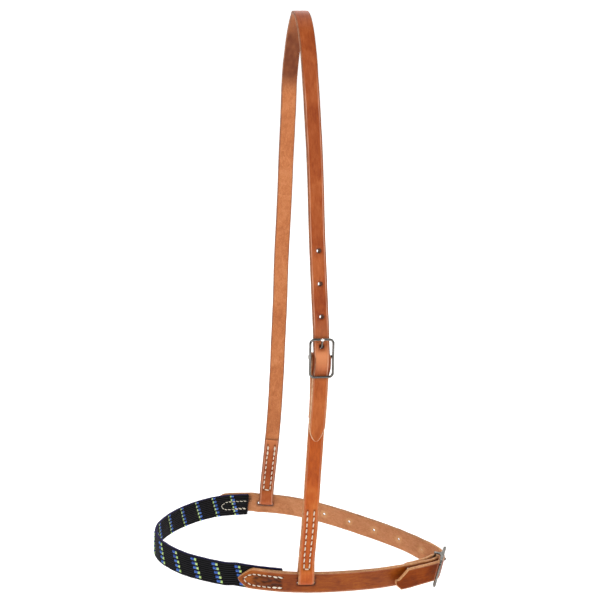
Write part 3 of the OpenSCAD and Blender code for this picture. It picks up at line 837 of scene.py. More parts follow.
# --------------------------------------------------------------- materials
class Nodes:
    def __init__(self, name):
        self.m = bpy.data.materials.new(name)
        self.m.use_nodes = True
        self.t = self.m.node_tree
        self.b = self.t.nodes["Principled BSDF"]

    def n(self, kind, ins=(), **props):
        x = self.t.nodes.new(kind)
        for k, v in props.items():
            setattr(x, k, v)
        for k, v in dict(ins).items():
            self.put(x.inputs[k], v)
        return x

    def put(self, sock, v):
        if hasattr(v, "is_output") or isinstance(v, bpy.types.NodeSocket):
            self.t.links.new(v, sock)
        else:
            sock.default_value = v

    def math(self, op, a, b=0.0, c=None, clamp=False):
        x = self.t.nodes.new("ShaderNodeMath")
        x.operation, x.use_clamp = op, clamp
        self.put(x.inputs[0], a)
        self.put(x.inputs[1], b)
        if c is not None:
            self.put(x.inputs[2], c)
        return x.outputs[0]

    def mix(self, f, a, b, mode="MIX"):
        x = self.t.nodes.new("ShaderNodeMix")
        x.data_type, x.blend_type = "RGBA", mode
        self.put(x.inputs[0], f)
        self.put(x.inputs[6], a if not isinstance(a, tuple) else (*a, 1) if len(a) == 3 else a)
        self.put(x.inputs[7], b if not isinstance(b, tuple) else (*b, 1) if len(b) == 3 else b)
        return x.outputs[2]

    def ramp(self, f, stops):
        x = self.t.nodes.new("ShaderNodeValToRGB")
        self.put(x.inputs[0], f)
        while len(x.color_ramp.elements) < len(stops):
            x.color_ramp.elements.new(0.5)
        for e, (p, c) in zip(x.color_ramp.elements, stops):
            e.position = p
            e.color = (*c, 1) if len(c) == 3 else c
        return x.outputs[0]

    def attr(self, name):
        return self.n("ShaderNodeAttribute", attribute_name=name, attribute_type="GEOMETRY")

    def noise(self, vec, scale, detail=3.0, rough=0.55, dist=0.0):
        x = self.n("ShaderNodeTexNoise", {"Vector": vec, "Scale": scale, "Detail": detail,
                                          "Roughness": rough, "Distortion": dist})
        return x.outputs["Fac"]

    def vscale(self, vec, x, y, z):
        return self.n("ShaderNodeVectorMath", {0: vec, 1: (x, y, z)}, operation="MULTIPLY").outputs[0]

    def bump(self, height, strength, distance, prev=None):
        ins = {"Height": height, "Strength": strength, "Distance": distance}
        if prev is not None:
            ins["Normal"] = prev
        return self.n("ShaderNodeBump", ins).outputs[0]


def srgb(r, g, b):
    def f(c):
        c /= 255
        return c / 12.92 if c <= 0.04045 else ((c + 0.055) / 1.055) ** 2.4
    return (f(r), f(g), f(b))


def grain_mat(name, dark, mid, light, rough=0.46, seed=0.0, h=7.95, spec=0.22, crease=0.30):
    k = Nodes(name)
    obj = k.n("ShaderNodeTexCoord").outputs["Object"]
    zc = k.n("ShaderNodeSeparateXYZ", {0: obj}).outputs[2]
    obj = k.n("ShaderNodeVectorMath", {0: obj, 1: (seed, seed * 0.7, seed * 1.3)}, operation="ADD").outputs[0]
    st = k.attr("st").outputs["Vector"]
    sv = k.vscale(st, 0.25, 1.0, 1.0)
    cloud = k.noise(obj, 26.0, 4.0, 0.6, 0.6)
    streak = k.noise(sv, 0.55, 4.0, 0.6, 0.4)
    fine = k.noise(st, 3.2, 3.0, 0.6)
    f = k.math("MULTIPLY_ADD", cloud, 0.62, k.math("MULTIPLY", streak, 0.38))
    f = k.math("MULTIPLY_ADD", k.math("SUBTRACT", fine, 0.5), 0.22, f)
    col = k.ramp(f, [(0.34, dark), (0.5, mid), (0.68, light)])
    # small dark pores and scars
    pores = k.n("ShaderNodeTexVoronoi", {"Vector": obj, "Scale": 900.0, "Randomness": 1.0}, feature="F1").outputs["Distance"]
    pore = k.math("SUBTRACT", 1.0, k.math("MULTIPLY", pores, 3.4, clamp=True), clamp=True)
    col = k.mix(k.math("MULTIPLY", pore, 0.20), col, tuple(c * 0.5 for c in dark))
    # painted highlight round the buckle bar and the paler pared loop end, both from the per-vertex attribute
    glow = k.attr("highlight_and_pale_fibre").outputs["Fac"]
    col = k.mix(k.math("MULTIPLY", glow, 0.80, clamp=True), col, srgb(230, 148, 98))
    # painted highlight along the crease line, with painted shade on the lip outside it; the highlight shows in
    # stretches and only below a set height
    ay = k.math("ABSOLUTE", k.n("ShaderNodeSeparateXYZ", {0: st}).outputs[1])
    d_in = k.math("ABSOLUTE", k.math("SUBTRACT", ay, h - 1.75))
    crease_highlight_mask = k.math("MULTIPLY", k.math("SUBTRACT", k.noise(k.vscale(st, 0.03, 0.0, 0.0), 1.0, 2.0), 0.24, clamp=True), 3.0, clamp=True)
    low = k.math("MULTIPLY", k.math("SUBTRACT", -0.050, zc), 30.0, clamp=True)
    crease_highlight_mask = k.math("MULTIPLY", crease_highlight_mask, low)
    line = k.math("MULTIPLY", k.math("SUBTRACT", 1.1, k.math("MULTIPLY", d_in, 1.7), clamp=True), crease_highlight_mask)
    lip = k.math("MULTIPLY", k.math("SUBTRACT", ay, h - 1.5, clamp=True), 0.55, clamp=True)
    col = k.mix(lip, col, tuple(c * 0.55 for c in dark))
    col = k.mix(k.math("MULTIPLY", line, crease), col, srgb(234, 178, 148))
    # per-vertex darkening: painted shade at stitches, hole and slot rims, wrinkle valleys and round the near slot, and
    # the darker tone of the near leather between its rows
    tone_and_shade = k.attr("tone_and_shade").outputs["Fac"]
    col = k.mix(k.math("MULTIPLY", tone_and_shade, 0.85, clamp=True), col, tuple(c * 0.16 for c in dark))
    k.put(k.b.inputs["Base Color"], col)
    rv = k.math("MULTIPLY_ADD", fine, 0.20, rough - 0.10)
    k.put(k.b.inputs["Roughness"], rv)
    k.b.inputs["Specular IOR Level"].default_value = spec
    wr_ = k.n("ShaderNodeTexVoronoi", {"Vector": st, "Scale": 1.15, "Randomness": 1.0},
              feature="DISTANCE_TO_EDGE").outputs["Distance"]
    wr2 = k.math("MULTIPLY", k.math("SUBTRACT", 0.12, wr_, clamp=True), 8.0)
    b1 = k.bump(k.math("MULTIPLY", wr2, -1.0), 0.22, 0.00012)
    b2 = k.bump(pores, 0.25, 0.00010, b1)
    b3 = k.bump(k.noise(st, 1.1, 5.0, 0.65), 0.35, 0.00022, b2)
    k.put(k.b.inputs["Normal"], b3)
    return k.m


def flesh_mat(name, dark, mid, light, seed=0.0, hw=7.95):
    k = Nodes(name)
    obj = k.n("ShaderNodeTexCoord").outputs["Object"]
    obj = k.n("ShaderNodeVectorMath", {0: obj, 1: (seed, seed, seed)}, operation="ADD").outputs[0]
    st = k.attr("st").outputs["Vector"]
    cloud = k.noise(obj, 30.0, 4.0, 0.62, 0.8)
    fib = k.noise(k.vscale(st, 0.35, 1.0, 1.0), 2.6, 5.0, 0.7, 1.4)
    mott = k.noise(k.vscale(st, 0.6, 1.0, 1.0), 0.34, 5.0, 0.72, 0.9)
    f = k.math("MULTIPLY_ADD", cloud, 0.30, k.math("MULTIPLY_ADD", mott, 0.34, k.math("MULTIPLY", fib, 0.36)))
    col = k.ramp(f, [(0.37, dark), (0.5, mid), (0.64, light)])
    ay = k.math("ABSOLUTE", k.n("ShaderNodeSeparateXYZ", {0: st}).outputs[1])
    rimm = k.math("MULTIPLY", k.math("SUBTRACT", ay, hw - 1.7, clamp=True), 0.42, clamp=True)
    col = k.mix(rimm, col, tuple(c * 0.6 for c in dark))
    highlight_and_pale_fibre = k.attr("highlight_and_pale_fibre").outputs["Fac"]
    col = k.mix(k.math("MULTIPLY", highlight_and_pale_fibre, k.math("MULTIPLY_ADD", fib, 0.9, 0.05), clamp=True), col, srgb(222, 172, 116))
    # per-vertex darkening: the darker inner face near the crown's top, and painted shade round the slots
    tone_and_shade = k.attr("tone_and_shade").outputs["Fac"]
    col = k.mix(k.math("MULTIPLY", tone_and_shade, 0.95, clamp=True), col, (dark[0] * 0.38, dark[1] * 0.27, dark[2] * 0.12))
    k.put(k.b.inputs["Base Color"], col)
    k.put(k.b.inputs["Roughness"], k.math("MULTIPLY_ADD", fib, 0.2, 0.62))
    k.b.inputs["Specular IOR Level"].default_value = 0.3
    k.b.inputs["Sheen Weight"].default_value = 0.12
    k.b.inputs["Sheen Roughness"].default_value = 0.5
    b1 = k.bump(fib, 0.5, 0.0003)
    b2 = k.bump(k.noise(st, 6.0, 3.0, 0.7), 0.3, 0.00015, b1)
    k.put(k.b.inputs["Normal"], b2)
    return k.m


def edge_mat(name, dark, mid, light):
    k = Nodes(name)
    st = k.attr("st").outputs["Vector"]
    lay_ = k.noise(k.vscale(st, 0.12, 0.3, 6.0), 1.6, 4.0, 0.65, 0.5)
    spot = k.noise(k.vscale(st, 1.0, 1.0, 2.0), 0.35, 3.0, 0.6)
    f = k.math("MULTIPLY_ADD", lay_, 0.5, k.math("MULTIPLY", spot, 0.5))
    col = k.ramp(f, [(0.34, dark), (0.5, mid), (0.66, light)])
    # per-vertex darkening: darker edge tone along some stretches, and painted shade on the walls of holes and slots
    tone_and_shade = k.attr("tone_and_shade").outputs["Fac"]
    col = k.mix(k.math("MULTIPLY", tone_and_shade, 0.8, clamp=True), col, tuple(c * 0.25 for c in dark))
    k.put(k.b.inputs["Base Color"], col)
    k.put(k.b.inputs["Roughness"], k.math("MULTIPLY_ADD", lay_, 0.25, 0.42))
    k.put(k.b.inputs["Normal"], k.bump(lay_, 0.45, 0.0002))
    return k.m


def thread_mat():
    k = Nodes("cream_thread")
    a = k.attr("along").outputs["Fac"]
    obj = k.n("ShaderNodeTexCoord").outputs["Object"]
    n = k.noise(obj, 1500.0, 3.0, 0.6)
    w = k.noise(obj, 70.0, 2.0, 0.5)
    col = k.ramp(k.math("MULTIPLY_ADD", n, 0.6, k.math("MULTIPLY", w, 0.4)),
                 [(0.3, srgb(206, 190, 162)), (0.5, srgb(238, 229, 208)), (0.7, srgb(250, 246, 236))])
    k.put(k.b.inputs["Base Color"], col)
    k.b.inputs["Roughness"].default_value = 0.6
    k.b.inputs["Sheen Weight"].default_value = 0.2
    wv = k.math("SINE", k.math("MULTIPLY", a, 9.0))
    k.put(k.b.inputs["Normal"], k.bump(k.math("ADD", wv, n), 0.35, 0.00012))
    return k.m


def metal_mat():
    k = Nodes("nickel_plate")
    obj = k.n("ShaderNodeTexCoord").outputs["Object"]
    n = k.noise(obj, 180.0, 4.0, 0.6)
    sc_ = k.noise(k.vscale(obj, 1.0, 5.0, 1.0), 900.0, 2.0, 0.6)
    # base colour set darker than nickel's own, standing in for reflections of a dark studio (painted shade)
    col = k.ramp(n, [(0.3, srgb(92, 89, 84)), (0.55, srgb(116, 113, 108)), (0.8, srgb(140, 137, 132))])
    # painted highlight: the tongue's knob end is mixed to near white
    col = k.mix(k.attr("highlight_and_pale_fibre").outputs["Fac"], col, srgb(244, 242, 238))
    k.put(k.b.inputs["Base Color"], col)
    k.b.inputs["Metallic"].default_value = 1.0
    k.put(k.b.inputs["Roughness"], k.math("MULTIPLY_ADD", n, 0.14, 0.06))
    k.put(k.b.inputs["Normal"], k.bump(sc_, 0.12, 0.00005))
    return k.m


def weave_mat(name, dark, mid, light, rough=0.82, sheen=0.25, tint=(0.5, 0.45, 0.8)):
    """Lengthwise ribs crossed by fine weft passes; 'st' is (along, across, face) in mm."""
    k = Nodes(name)
    st = k.attr("st").outputs["Vector"]
    sep = k.n("ShaderNodeSeparateXYZ", {0: st})
    x, y = sep.outputs[0], sep.outputs[1]
    rib = k.math("FLOOR", k.math("ADD", k.math("MULTIPLY", y, 11 / 25.0), 0.5))
    ph = k.math("MULTIPLY", rib, math.pi)
    wob_ = k.math("MULTIPLY", k.math("SUBTRACT", k.noise(st, 0.9, 2.0, 0.5), 0.5), 1.6)
    wv = k.math("SINE", k.math("ADD", k.math("ADD", k.math("MULTIPLY", x, 2 * math.pi / 0.85), ph), wob_))
    fib = k.noise(k.vscale(st, 4.0, 0.8, 1.0), 2.2, 3.0, 0.7)
    h = k.math("MULTIPLY_ADD", wv, 0.5, fib)
    f = k.math("MULTIPLY_ADD", wv, 0.16, fib)
    col = k.ramp(f, [(0.3, dark), (0.52, mid), (0.78, light)])
    ridge = k.math("COSINE", k.math("MULTIPLY", y, 2 * math.pi * 11 / 25.0))
    # painted shade in the grooves between ribs, painted highlight on the rib crests
    col = k.mix(k.math("MULTIPLY_ADD", ridge, -0.9, 0.30, clamp=True), col, (0.0006, 0.0006, 0.0008))
    col = k.mix(k.math("MULTIPLY", k.math("SUBTRACT", ridge, 0.50, clamp=True), 1.2, clamp=True), col, (0.052, 0.052, 0.058))
    # painted sheen: navy tint on the selvedge edges
    rim = k.math("SUBTRACT", 1.0, k.math("MULTIPLY", k.math("ABSOLUTE", sep.outputs[2]), 1.0), clamp=True)
    col = k.mix(k.math("MULTIPLY", rim, 0.7, clamp=True), col, srgb(48, 40, 92))
    k.put(k.b.inputs["Base Color"], col)
    k.b.inputs["Roughness"].default_value = rough
    k.b.inputs["Specular IOR Level"].default_value = 0.10
    k.b.inputs["Sheen Weight"].default_value = sheen
    k.b.inputs["Sheen Roughness"].default_value = 0.45
    k.b.inputs["Sheen Tint"].default_value = (*tint, 1)
    k.put(k.b.inputs["Normal"], k.bump(k.math("MULTIPLY_ADD", ridge, 1.6, h), 0.8, 0.00034))
    return k.m


def yarn_mat(name, dark, mid, light):
    k = Nodes(name)
    obj = k.n("ShaderNodeTexCoord").outputs["Object"]
    a = k.attr("along").outputs["Fac"]
    n = k.noise(obj, 1300.0, 3.0, 0.65)
    w = k.noise(obj, 240.0, 2.0, 0.5)
    col = k.ramp(k.math("MULTIPLY_ADD", n, 0.5, k.math("MULTIPLY", w, 0.5)),
                 [(0.32, dark), (0.5, mid), (0.68, light)])
    k.put(k.b.inputs["Base Color"], col)
    k.b.inputs["Roughness"].default_value = 0.6
    k.b.inputs["Sheen Weight"].default_value = 0.15
    wv = k.math("SINE", k.math("MULTIPLY", a, 11.0))
    k.put(k.b.inputs["Normal"], k.bump(k.math("ADD", wv, n), 0.4, 0.0001))
    return k.m


crown_grain = grain_mat("crown_grain", srgb(140, 56, 18), srgb(168, 80, 33), srgb(192, 106, 56), 0.40, 1.0, crease=0.78)
tail_grain = grain_mat("tail_grain", srgb(164, 76, 26), srgb(186, 97, 42), srgb(202, 116, 60), 0.44, 8.0)
crown_flesh = flesh_mat("crown_flesh", srgb(159, 84, 40), srgb(194, 116, 66), srgb(219, 149, 98), 2.0)
crown_edge = edge_mat("crown_edge", srgb(122, 66, 36), srgb(150, 90, 54), srgb(188, 130, 90))
cheek_grain = grain_mat("cheek_grain", srgb(162, 67, 12), srgb(189, 88, 23), srgb(206, 113, 47), 0.38, 3.0)
cheek_flesh = flesh_mat("cheek_flesh", srgb(164, 98, 56), srgb(198, 130, 84), srgb(220, 158, 112), 4.0)
cheek_edge = edge_mat("cheek_edge", srgb(156, 86, 42), srgb(190, 122, 70), srgb(220, 162, 108))
chin_grain = grain_mat("chin_grain", srgb(110, 43, 2), srgb(146, 67, 7), srgb(174, 93, 20), 0.40, 5.0, 11.35)
chin_tail_grain = grain_mat("chin_tail_grain", srgb(102, 38, 4), srgb(132, 56, 9), srgb(160, 77, 18), 0.58, 9.0, 11.35, 0.08)
chin_flesh = flesh_mat("chin_flesh", srgb(158, 95, 54), srgb(190, 123, 78), srgb(210, 149, 104), 6.0, 11.35)
tail_edge = edge_mat("tail_edge", srgb(176, 116, 72), srgb(206, 154, 112), srgb(232, 196, 162))
chin_edge = edge_mat("chin_edge", srgb(170, 100, 50), srgb(208, 146, 92), srgb(230, 180, 128))
thread_m = thread_mat()
metal_m = metal_mat()
weave_m = weave_mat("black_weave", srgb(3, 3, 4), srgb(9, 9, 11), srgb(22, 22, 26), 0.60, 0.02)
blue_m = yarn_mat("blue_yarn", srgb(28, 52, 140), srgb(46, 98, 200), srgb(100, 156, 232))
lime_m = yarn_mat("lime_yarn", srgb(140, 190, 90), srgb(198, 232, 132), srgb(232, 248, 180))

# --------------------------------------------------------------- crown strap
hy = [0, .7, 1.4, 2.1, 2.8, 3.5, 4.2, 4.9, 5.5, 5.95, 6.3, 6.65, 7.0]
cy = [0, .8, 1.6, 2.4, 3.2, 4.0, 4.8, 5.6, 6.4, 7.2, 8.0, 8.8, 9.35, 9.7, 10.05, 10.4]

cp = crown_all
share_far = 0.5
t_cut = cp.t_of(cut_s, 0.5)
t_tie = cp.t_of(tie, 0.5)
t_end = cp.L


def t_far_in(s):
    return cp.t_of(s, 0.0, 0.066)


def t_far_out(s):
    return cp.t_of(s, 0.07, 0.4)


def rows_v(t_a, t_b, ya, yb, cross=True):
    """Two rows of stitching from t_a to t_b, one on each side of the middle."""
    up = [(t_a, ya), (t_b, yb)]
    dn = [(t_b, -yb), (t_a, -ya)]
    return up, dn


def seam_sets(t_a, t_b, ya, yb, pitch):
    r1 = lay_holes([(t_a, ya), (t_b, yb)], pitch)
    r2 = lay_holes([(t_a, -ya), (t_b, -yb)], pitch)
    mid = np.array([(t_b, yb), (t_b, -yb)])
    return [r1, r2, mid]


far_in = seam_sets(t_far_in(72), t_far_in(17.5), 3.9, 3.7, 6.0)
far_out = seam_sets(t_far_out(72), t_far_out(17.5), 3.9, 3.7, 6.0)


# painted highlight where the crown strap bulges over the buckle's centre bar, fainter above it; near t = 0 the pared
# loop end is paler leather
def fold_glow(t, y):
    s = np.interp(t, cp.t, cp.s)
    d = s - bar_s + 2
    k = np.exp(-(d / np.where(d > 0, 12.5, 8.5)) ** 2)
    k = np.maximum(k, 0.26 * ease((d + 44) / 20) * (d < 0)) * (s > HA)
    k = k + 0.75 * (1 - ease(np.asarray(t, float) / 16))
    return k * np.clip(1.05 - (np.abs(y) / 8) ** 4, 0, 1)
far_rel = stitch_relief(far_in + far_out)
inner_dark_var = waves(31, 12, 5, 16, 0.07)


def crown_darkening(t, y, side):
    t, y = np.broadcast_arrays(np.asarray(t, float), np.asarray(y, float))
    s = np.interp(t, cp.t, cp.s)
    m = np.zeros(t.shape)
    if side < 0:
        # darker inner face near the top of the far half
        k = ease((s - (HA - 100)) / 26) * (0.50 + 0.50 * ease(((HA - 10) - s) / 34)) * ease((HA + 30 - s) / 20)
        m = m + 0.98 * k * (0.93 + inner_dark_var(s, y))
    return np.clip(m, 0, 1)


def crown_relief(t, y, side):
    # the loop's cut end is pared thin so it lies flush
    pare = 2.25 * (1 - ease(np.asarray(t, float) / 9.0)) * (side > 0)
    return far_rel(t, y, side) - pare


t_bar = cp.t_of(bar_s, 0.5)
# which way the strap's width axis points on the near side
chinward = 1.0 if cp.emb([t_bar], [5], [0])[0][0] > cp.emb([t_bar], [-5], [0])[0][0] else -1.0
holes = [(cp.t_of(hole_s - i * hole_pitch, 0.5), 2.15, 1.7, complex(0.0, -0.95 * chinward)) for i in (1, 2, 3)]
holes.append((cp.t_of(bar_s - 9.8, 0.5), 2.2, 1.7, 1.35))


def fold_yc(t):
    """The strap sits a little towards the chin where it crosses the bar."""
    d = np.asarray(t, float) - t_bar
    return chinward * 1.5 * ease((d + 5.4) / 6) * ease((22 - d) / 12)
crown = Strap("crown_leather", cp, 0.0, t_cut, hang_w, hang_t, hy, 2.4,
              zones=[(0, 100, 0.8), (cp.t_of(bar_s - 24, 0.5), t_cut, 0.7)],
              holes=holes, relief=crown_relief, wob=0.045, seed=11, tone_and_shade=crown_darkening,
              rows=far_in + far_out, glow=fold_glow, yc=fold_yc)
crown_o = crown.build([crown_grain, crown_edge, crown_flesh])
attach(crown_o, "hanger")
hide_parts("crown_strap")


def crown_tip(t):
    t = np.asarray(t, float)
    u = np.clip((t - (t_end - 15)) / 15, 0, 1)
    hl = 7.95 * np.sqrt(np.clip(1 - u ** 2.1, 0, 1)) * (1 - 0.16 * u) + 0.05
    hr = 7.95 * np.sqrt(np.clip(1 - u ** 1.7, 0, 1)) * (1 - 0.25 * u) + 0.05
    return np.minimum(hl, 7.95), np.minimum(hr, 7.95)


tail = Strap("crown_tail_leather", cp, t_cut, t_end, hang_w, hang_t, hy, 1.6,
             zones=[(t_cut, t_tie + 12, 0.8), (t_end - 15, t_end - 3, 0.7), (t_end - 3, t_end, 0.22)],
             hw=crown_tip, relief=None, wob=0.045, seed=11, yc=fold_yc)
tail_ob = tail.build([tail_grain, tail_edge, crown_flesh])
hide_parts("crown_strap_tail")
e0, e1 = cp.emb([t_tie - 2.5], [0], [0])[0] / 1000, cp.emb([t_tie + 9], [0], [0])[0] / 1000
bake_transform(tail_ob)

# --------------------------------------------------------------- cheek strap
kp = cheek_path


def t_ck_out(s):
    return kp.t_of(s, 0.27, 0.70)


n_out = int(len(kp.t) * 0.5)
t_turn = float(kp.t[np.argmax(kp.s * (np.arange(len(kp.s)) > 300))])


def t_low_out(s):
    a = float(t_turn)
    k = np.where(kp.t < a)[0]
    return float(kp.t[k][np.abs(kp.s[k] - s)[len(k) // 2:].argmin() + len(k) // 2])


def t_low_in(s):
    k = np.where(kp.t > t_turn)[0]
    return float(kp.t[k][np.abs(kp.s[k] - s).argmin()])


t_barturn = float(kp.t[:len(kp.t) // 2][kp.s[:len(kp.t) // 2].argmin()])


def t_up_in(s):
    k = np.where(kp.t < t_barturn)[0]
    return float(kp.t[k][np.abs(kp.s[k] - s).argmin()])


def t_up_out(s):
    k = np.where((kp.t > t_barturn) & (kp.t < t_barturn + 120))[0]
    return float(kp.t[k][np.abs(kp.s[k] - s).argmin()])


near_out = seam_sets(t_low_out(HL - 79), t_low_out(HL - 17), 3.4, 2.7, 6.5)
near_in = seam_sets(t_low_in(HL - 77), t_low_in(HL - 17), 3.4, 2.7, 6.5)
up_in = seam_sets(t_up_in(bar_s + 57), t_up_in(bar_s + 25), 5.0, 5.0, 6.35)
up_out = seam_sets(t_up_out(bar_s + 57), t_up_out(bar_s + 25), 5.0, 5.0, 6.35)
cheek_rel = stitch_relief(near_out + near_in + up_in + up_out)
def cheek_hw(t):
    s = np.interp(t, kp.t, kp.s)
    return (7.95 + 1.2 * ease((bar_s + 58 - s) / 46), 7.95 + 1.2 * ease((bar_s + 22 - s) / 12))


cheek = Strap("cheek_leather", kp, 0.0, kp.L, hang_w, hang_t, hy, 2.4,
              zones=[(0, 100, 0.8), (t_low_out(HL - 84), kp.L, 0.8)],
              slots=[(t_barturn, 16.0, 5.6, 4.2)], relief=cheek_rel, wob=0.05, seed=23, hw=cheek_hw,
              rows=near_out + near_in + up_in + up_out)
cheek_ob = cheek.build([cheek_grain, cheek_edge, cheek_flesh])
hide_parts("cheek_strap")
# two points on the loop's last stretch, near the slot that it hangs in
e0 = kp.emb([t_low_out(HL - 16)], [0], [0])[0] / 1000
e1 = kp.emb([t_low_out(HL - 4)], [0], [0])[0] / 1000
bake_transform(cheek_ob)

# --------------------------------------------------------------- chin leathers
np_ = near_path
nt_turn = float(np_.t[np_.s.argmax()])


def t_nr(s):
    k = np.where(np_.t <= nt_turn)[0]
    return float(np_.t[k][np.abs(np_.s[k] - s).argmin()])


def t_nr_in(s):
    k = np.where(np_.t > nt_turn)[0]
    return float(np_.t[k][np.abs(np_.s[k] - s).argmin()])


def near_tip(t):
    t = np.asarray(t, float) - 2.2
    h = chin_w / 2
    u = np.clip(t / 15.0, 0, 1)
    v = np.clip(t / 11.5, 0, 1)
    up = h * (0.12 + 0.88 * (1 - (1 - u) ** 1.3)) * np.sqrt(np.clip(t / 1.6, 0.02, 1))
    dn = h * (0.12 + 0.88 * (1 - (1 - v) ** 1.2)) * np.sqrt(np.clip(t / 1.6, 0.02, 1))
    e = np.clip((t - (near_path.L - 9.5)) / 7.5, 0, 1)
    back_ = 1 - 0.22 * e ** 2.5
    return np.minimum(dn, h) * back_, np.minimum(up, h) * back_


def near_yc(t):
    return -1.7 * (1 - ease((np.asarray(t, float) - 2.2) / 13))


nrow_u = lay_holes([(8.0, -1.1), (12.0, 3.2), (17.0, 5.6), (47.0, 5.4)], 5.0)
nrow_d = lay_holes([(8.0, -1.5), (12.0, -5.2), (17.0, -6.9), (47.0, -6.8)], 5.0)
bk_out = [lay_holes([(t_nr(RL - 25), y), (t_nr(RL - 40), y)], 5.0) for y in (7.2, -7.2)]
bk_in = [lay_holes([(t_nr_in(RL - 25), y), (t_nr_in(RL - 39.5), y)], 5.0) for y in (7.2, -7.2)]
near_rel0 = stitch_relief([nrow_u, nrow_d] + bk_out + bk_in, 0.34, 0.9)
wrinkle = waves(77, 18, 2.6, 9, 0.55)


def near_rel(t, y, side):
    d = near_rel0(t, y, side)
    if side > 0:
        k = ease((t - 11) / 8) * ease((49 - t) / 5) * ease((5.8 - np.abs(y + 0.5)) / 1.8)
        w_ = wrinkle(t * 0.6, y * 1.9)
        d = d + k * (np.minimum(w_, 0.12) - 0.12)
    return d


def near_tone_and_shade(t, y, side):
    t, y = np.broadcast_arrays(np.asarray(t, float), np.asarray(y, float))
    # darker tone over the wrinkled region between the rows, with painted shade deeper in the wrinkle valleys
    k = ease((t - 12) / 10) * ease((49 - t) / 5) * ease((6.2 - np.abs(y + 0.5)) / 2.2)
    k2 = ease((t - 30) / 8) * k
    w_ = wrinkle(t * 0.6, y * 1.9)
    # painted contact shadow round the slot where the hanging loop passes through
    a = np.abs(t - t_nr(near_slot))
    rim = (np.exp(-((a - 9.0) / 0.85) ** 2) * ease((y + 3.6) / 1.2) * ease((8.2 - y) / 3)
           + np.exp(-((y + 3.1) / 0.8) ** 2) * ease((9.8 - a) / 1.2))
    k3 = np.clip(rim, 0, 1) * (side > 0)
    return np.maximum(0.95 * k3, 0.54 * k + k2 * 0.95 * np.clip(0.15 - w_ * 2.2, 0, 1) + k * 0.55 * np.clip(-w_ * 2.2, 0, 1)) * (side > 0)


near_l = Strap("near_nose_leather", np_, 2.2, np_.L, chin_w, chin_t, cy, 2.4,
               zones=[(2.2, 4.6, 0.24), (4.6, 50, 0.7), (t_nr(RL - 44), np_.L, 0.9)],
               slots=[(t_nr(near_slot), 17.8, 4.8, 4.8), (nt_turn, 16.0, 5.6, 4.8)],
               hw=near_tip, relief=near_rel, wob=0.05, seed=41, tone_and_shade=near_tone_and_shade, rc=1.15,
               yc=near_yc, rows=[nrow_u, nrow_d] + bk_out + bk_in,
               emark=lambda t: 0.42 * ease((t - 24) / 10) * ease((t_nr(RL - 62) - t) / 20))
near_ob = near_l.build([chin_grain, chin_edge, chin_flesh])
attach(near_ob, "noseband")
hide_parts("near_nose_strap")

bp = billet_all


def t_b_ring(s):
    k = np.where(bp.s < 5000)[0]
    return float(bp.t[k][np.abs(bp.s[k] - s).argmin()])


def t_b_chin(s):
    k = np.where(bp.s > 9000)[0]
    return float(bp.t[k][np.abs(bp.s[k] - 10000 - s).argmin()])


def bil_tip(t):
    t = np.asarray(t, float)
    h = chin_w / 2
    u = np.clip(t / 8.0, 0, 1)
    f = h * (0.45 + 0.55 * np.sqrt(np.clip(1 - (1 - u) ** 2, 0, 1))) * np.sqrt(np.clip(t / 1.0, 0.05, 1))
    return np.minimum(f, h), np.minimum(f, h)


def far_rows(t_of):
    a = t_of(band_a + 2.5)
    return a


ft0 = t_b_ring(band_a + 2.5)
ft1 = t_b_ring(band_a + 28.5)
ft2 = t_b_ring(band_a + 33.0)
frow_u = lay_holes([(ft0, 4.8), (ft1, 4.8), (ft2, 1.2)], 4.4)
frow_d = lay_holes([(ft0, -4.8), (ft1, -4.8), (ft2, -1.2)], 4.4)
b_rel = stitch_relief([frow_u, frow_d], 0.34, 0.9)
bholes = [(t_b_ring(RC.c[2] + 10.75 + i * hole_pitch), 2.1, 1.35) for i in (2, 1, 0)]
bholes += [(t_b_chin(84.5 - 2 * hole_pitch), 2.1, 1.25), (t_b_chin(84.5 - hole_pitch), 2.1, 0.5)]
# the hole in use sits where the tongue crosses the leather
t_use = t_b_chin(BC.c[6] - 1.0)
t_bcut = t_b_chin(chin_tie - 4.0)
t_btie = t_b_chin(chin_tie)


def nearest_t(p_mm, lo, hi):
    k = np.where((bp.t > lo) & (bp.t < hi))[0]
    return float(bp.t[k][np.linalg.norm(bp.p[k] - p_mm, axis=1).argmin()])


def at_chin(v):
    """Chin buckle frame: x along the strap to its far end, y across, z outward."""
    v = np.asarray(v, float)
    a = math.radians(75.8)
    x, y, z = v[..., 0], v[..., 1], v[..., 2]
    # rotate x by 90, then z by 75.8
    x1, y1, z1 = x, -z, y
    x2 = x1 * math.cos(a) - y1 * math.sin(a)
    y2 = x1 * math.sin(a) + y1 * math.cos(a)
    q = np.stack([x2 + RING[-1][0], y2 + RING[-1][1], z1], -1)
    return in_ring(q)


chin_zt = chin_drop + wr + 0.55 + 1.05
# the tongue's line from the bar to the far end bar, and where the leather crosses it
line = at_chin(np.stack([np.linspace(0, chin_len / 2, 60), np.zeros(60), np.linspace(0, chin_zt, 60)], 1))
kk_ = np.where((bp.t > t_b_chin(BC.c[3])) & (bp.t < t_bcut))[0]
dd_ = np.linalg.norm(bp.p[kk_][:, None, :] - line[None, :, :], axis=2)
t_use = float(bp.t[kk_][np.unravel_index(dd_.argmin(), dd_.shape)[0]])
bholes.append((t_use, 1.8, 1.7, 1.7))
billet = Strap("chin_billet_leather", bp, 0.0, t_bcut, chin_w, chin_t, cy, 2.4,
               zones=[(0, 1.4, 0.25), (1.4, ft0 + 6, 0.9), (t_b_chin(BC.c[3]), t_bcut, 0.8)],
               holes=bholes, slots=[(t_b_ring(far_slot), 18.0, 4.2, 4.8)],
               hw=bil_tip, relief=b_rel, wob=0.07, seed=61, rc=1.15, rows=[frow_u, frow_d],
                halo_r=2.6, emark=lambda t: 0.40 * ease((t_b_chin(70) - t) / 25))
billet_ob = billet.build([chin_grain, chin_edge, chin_flesh])
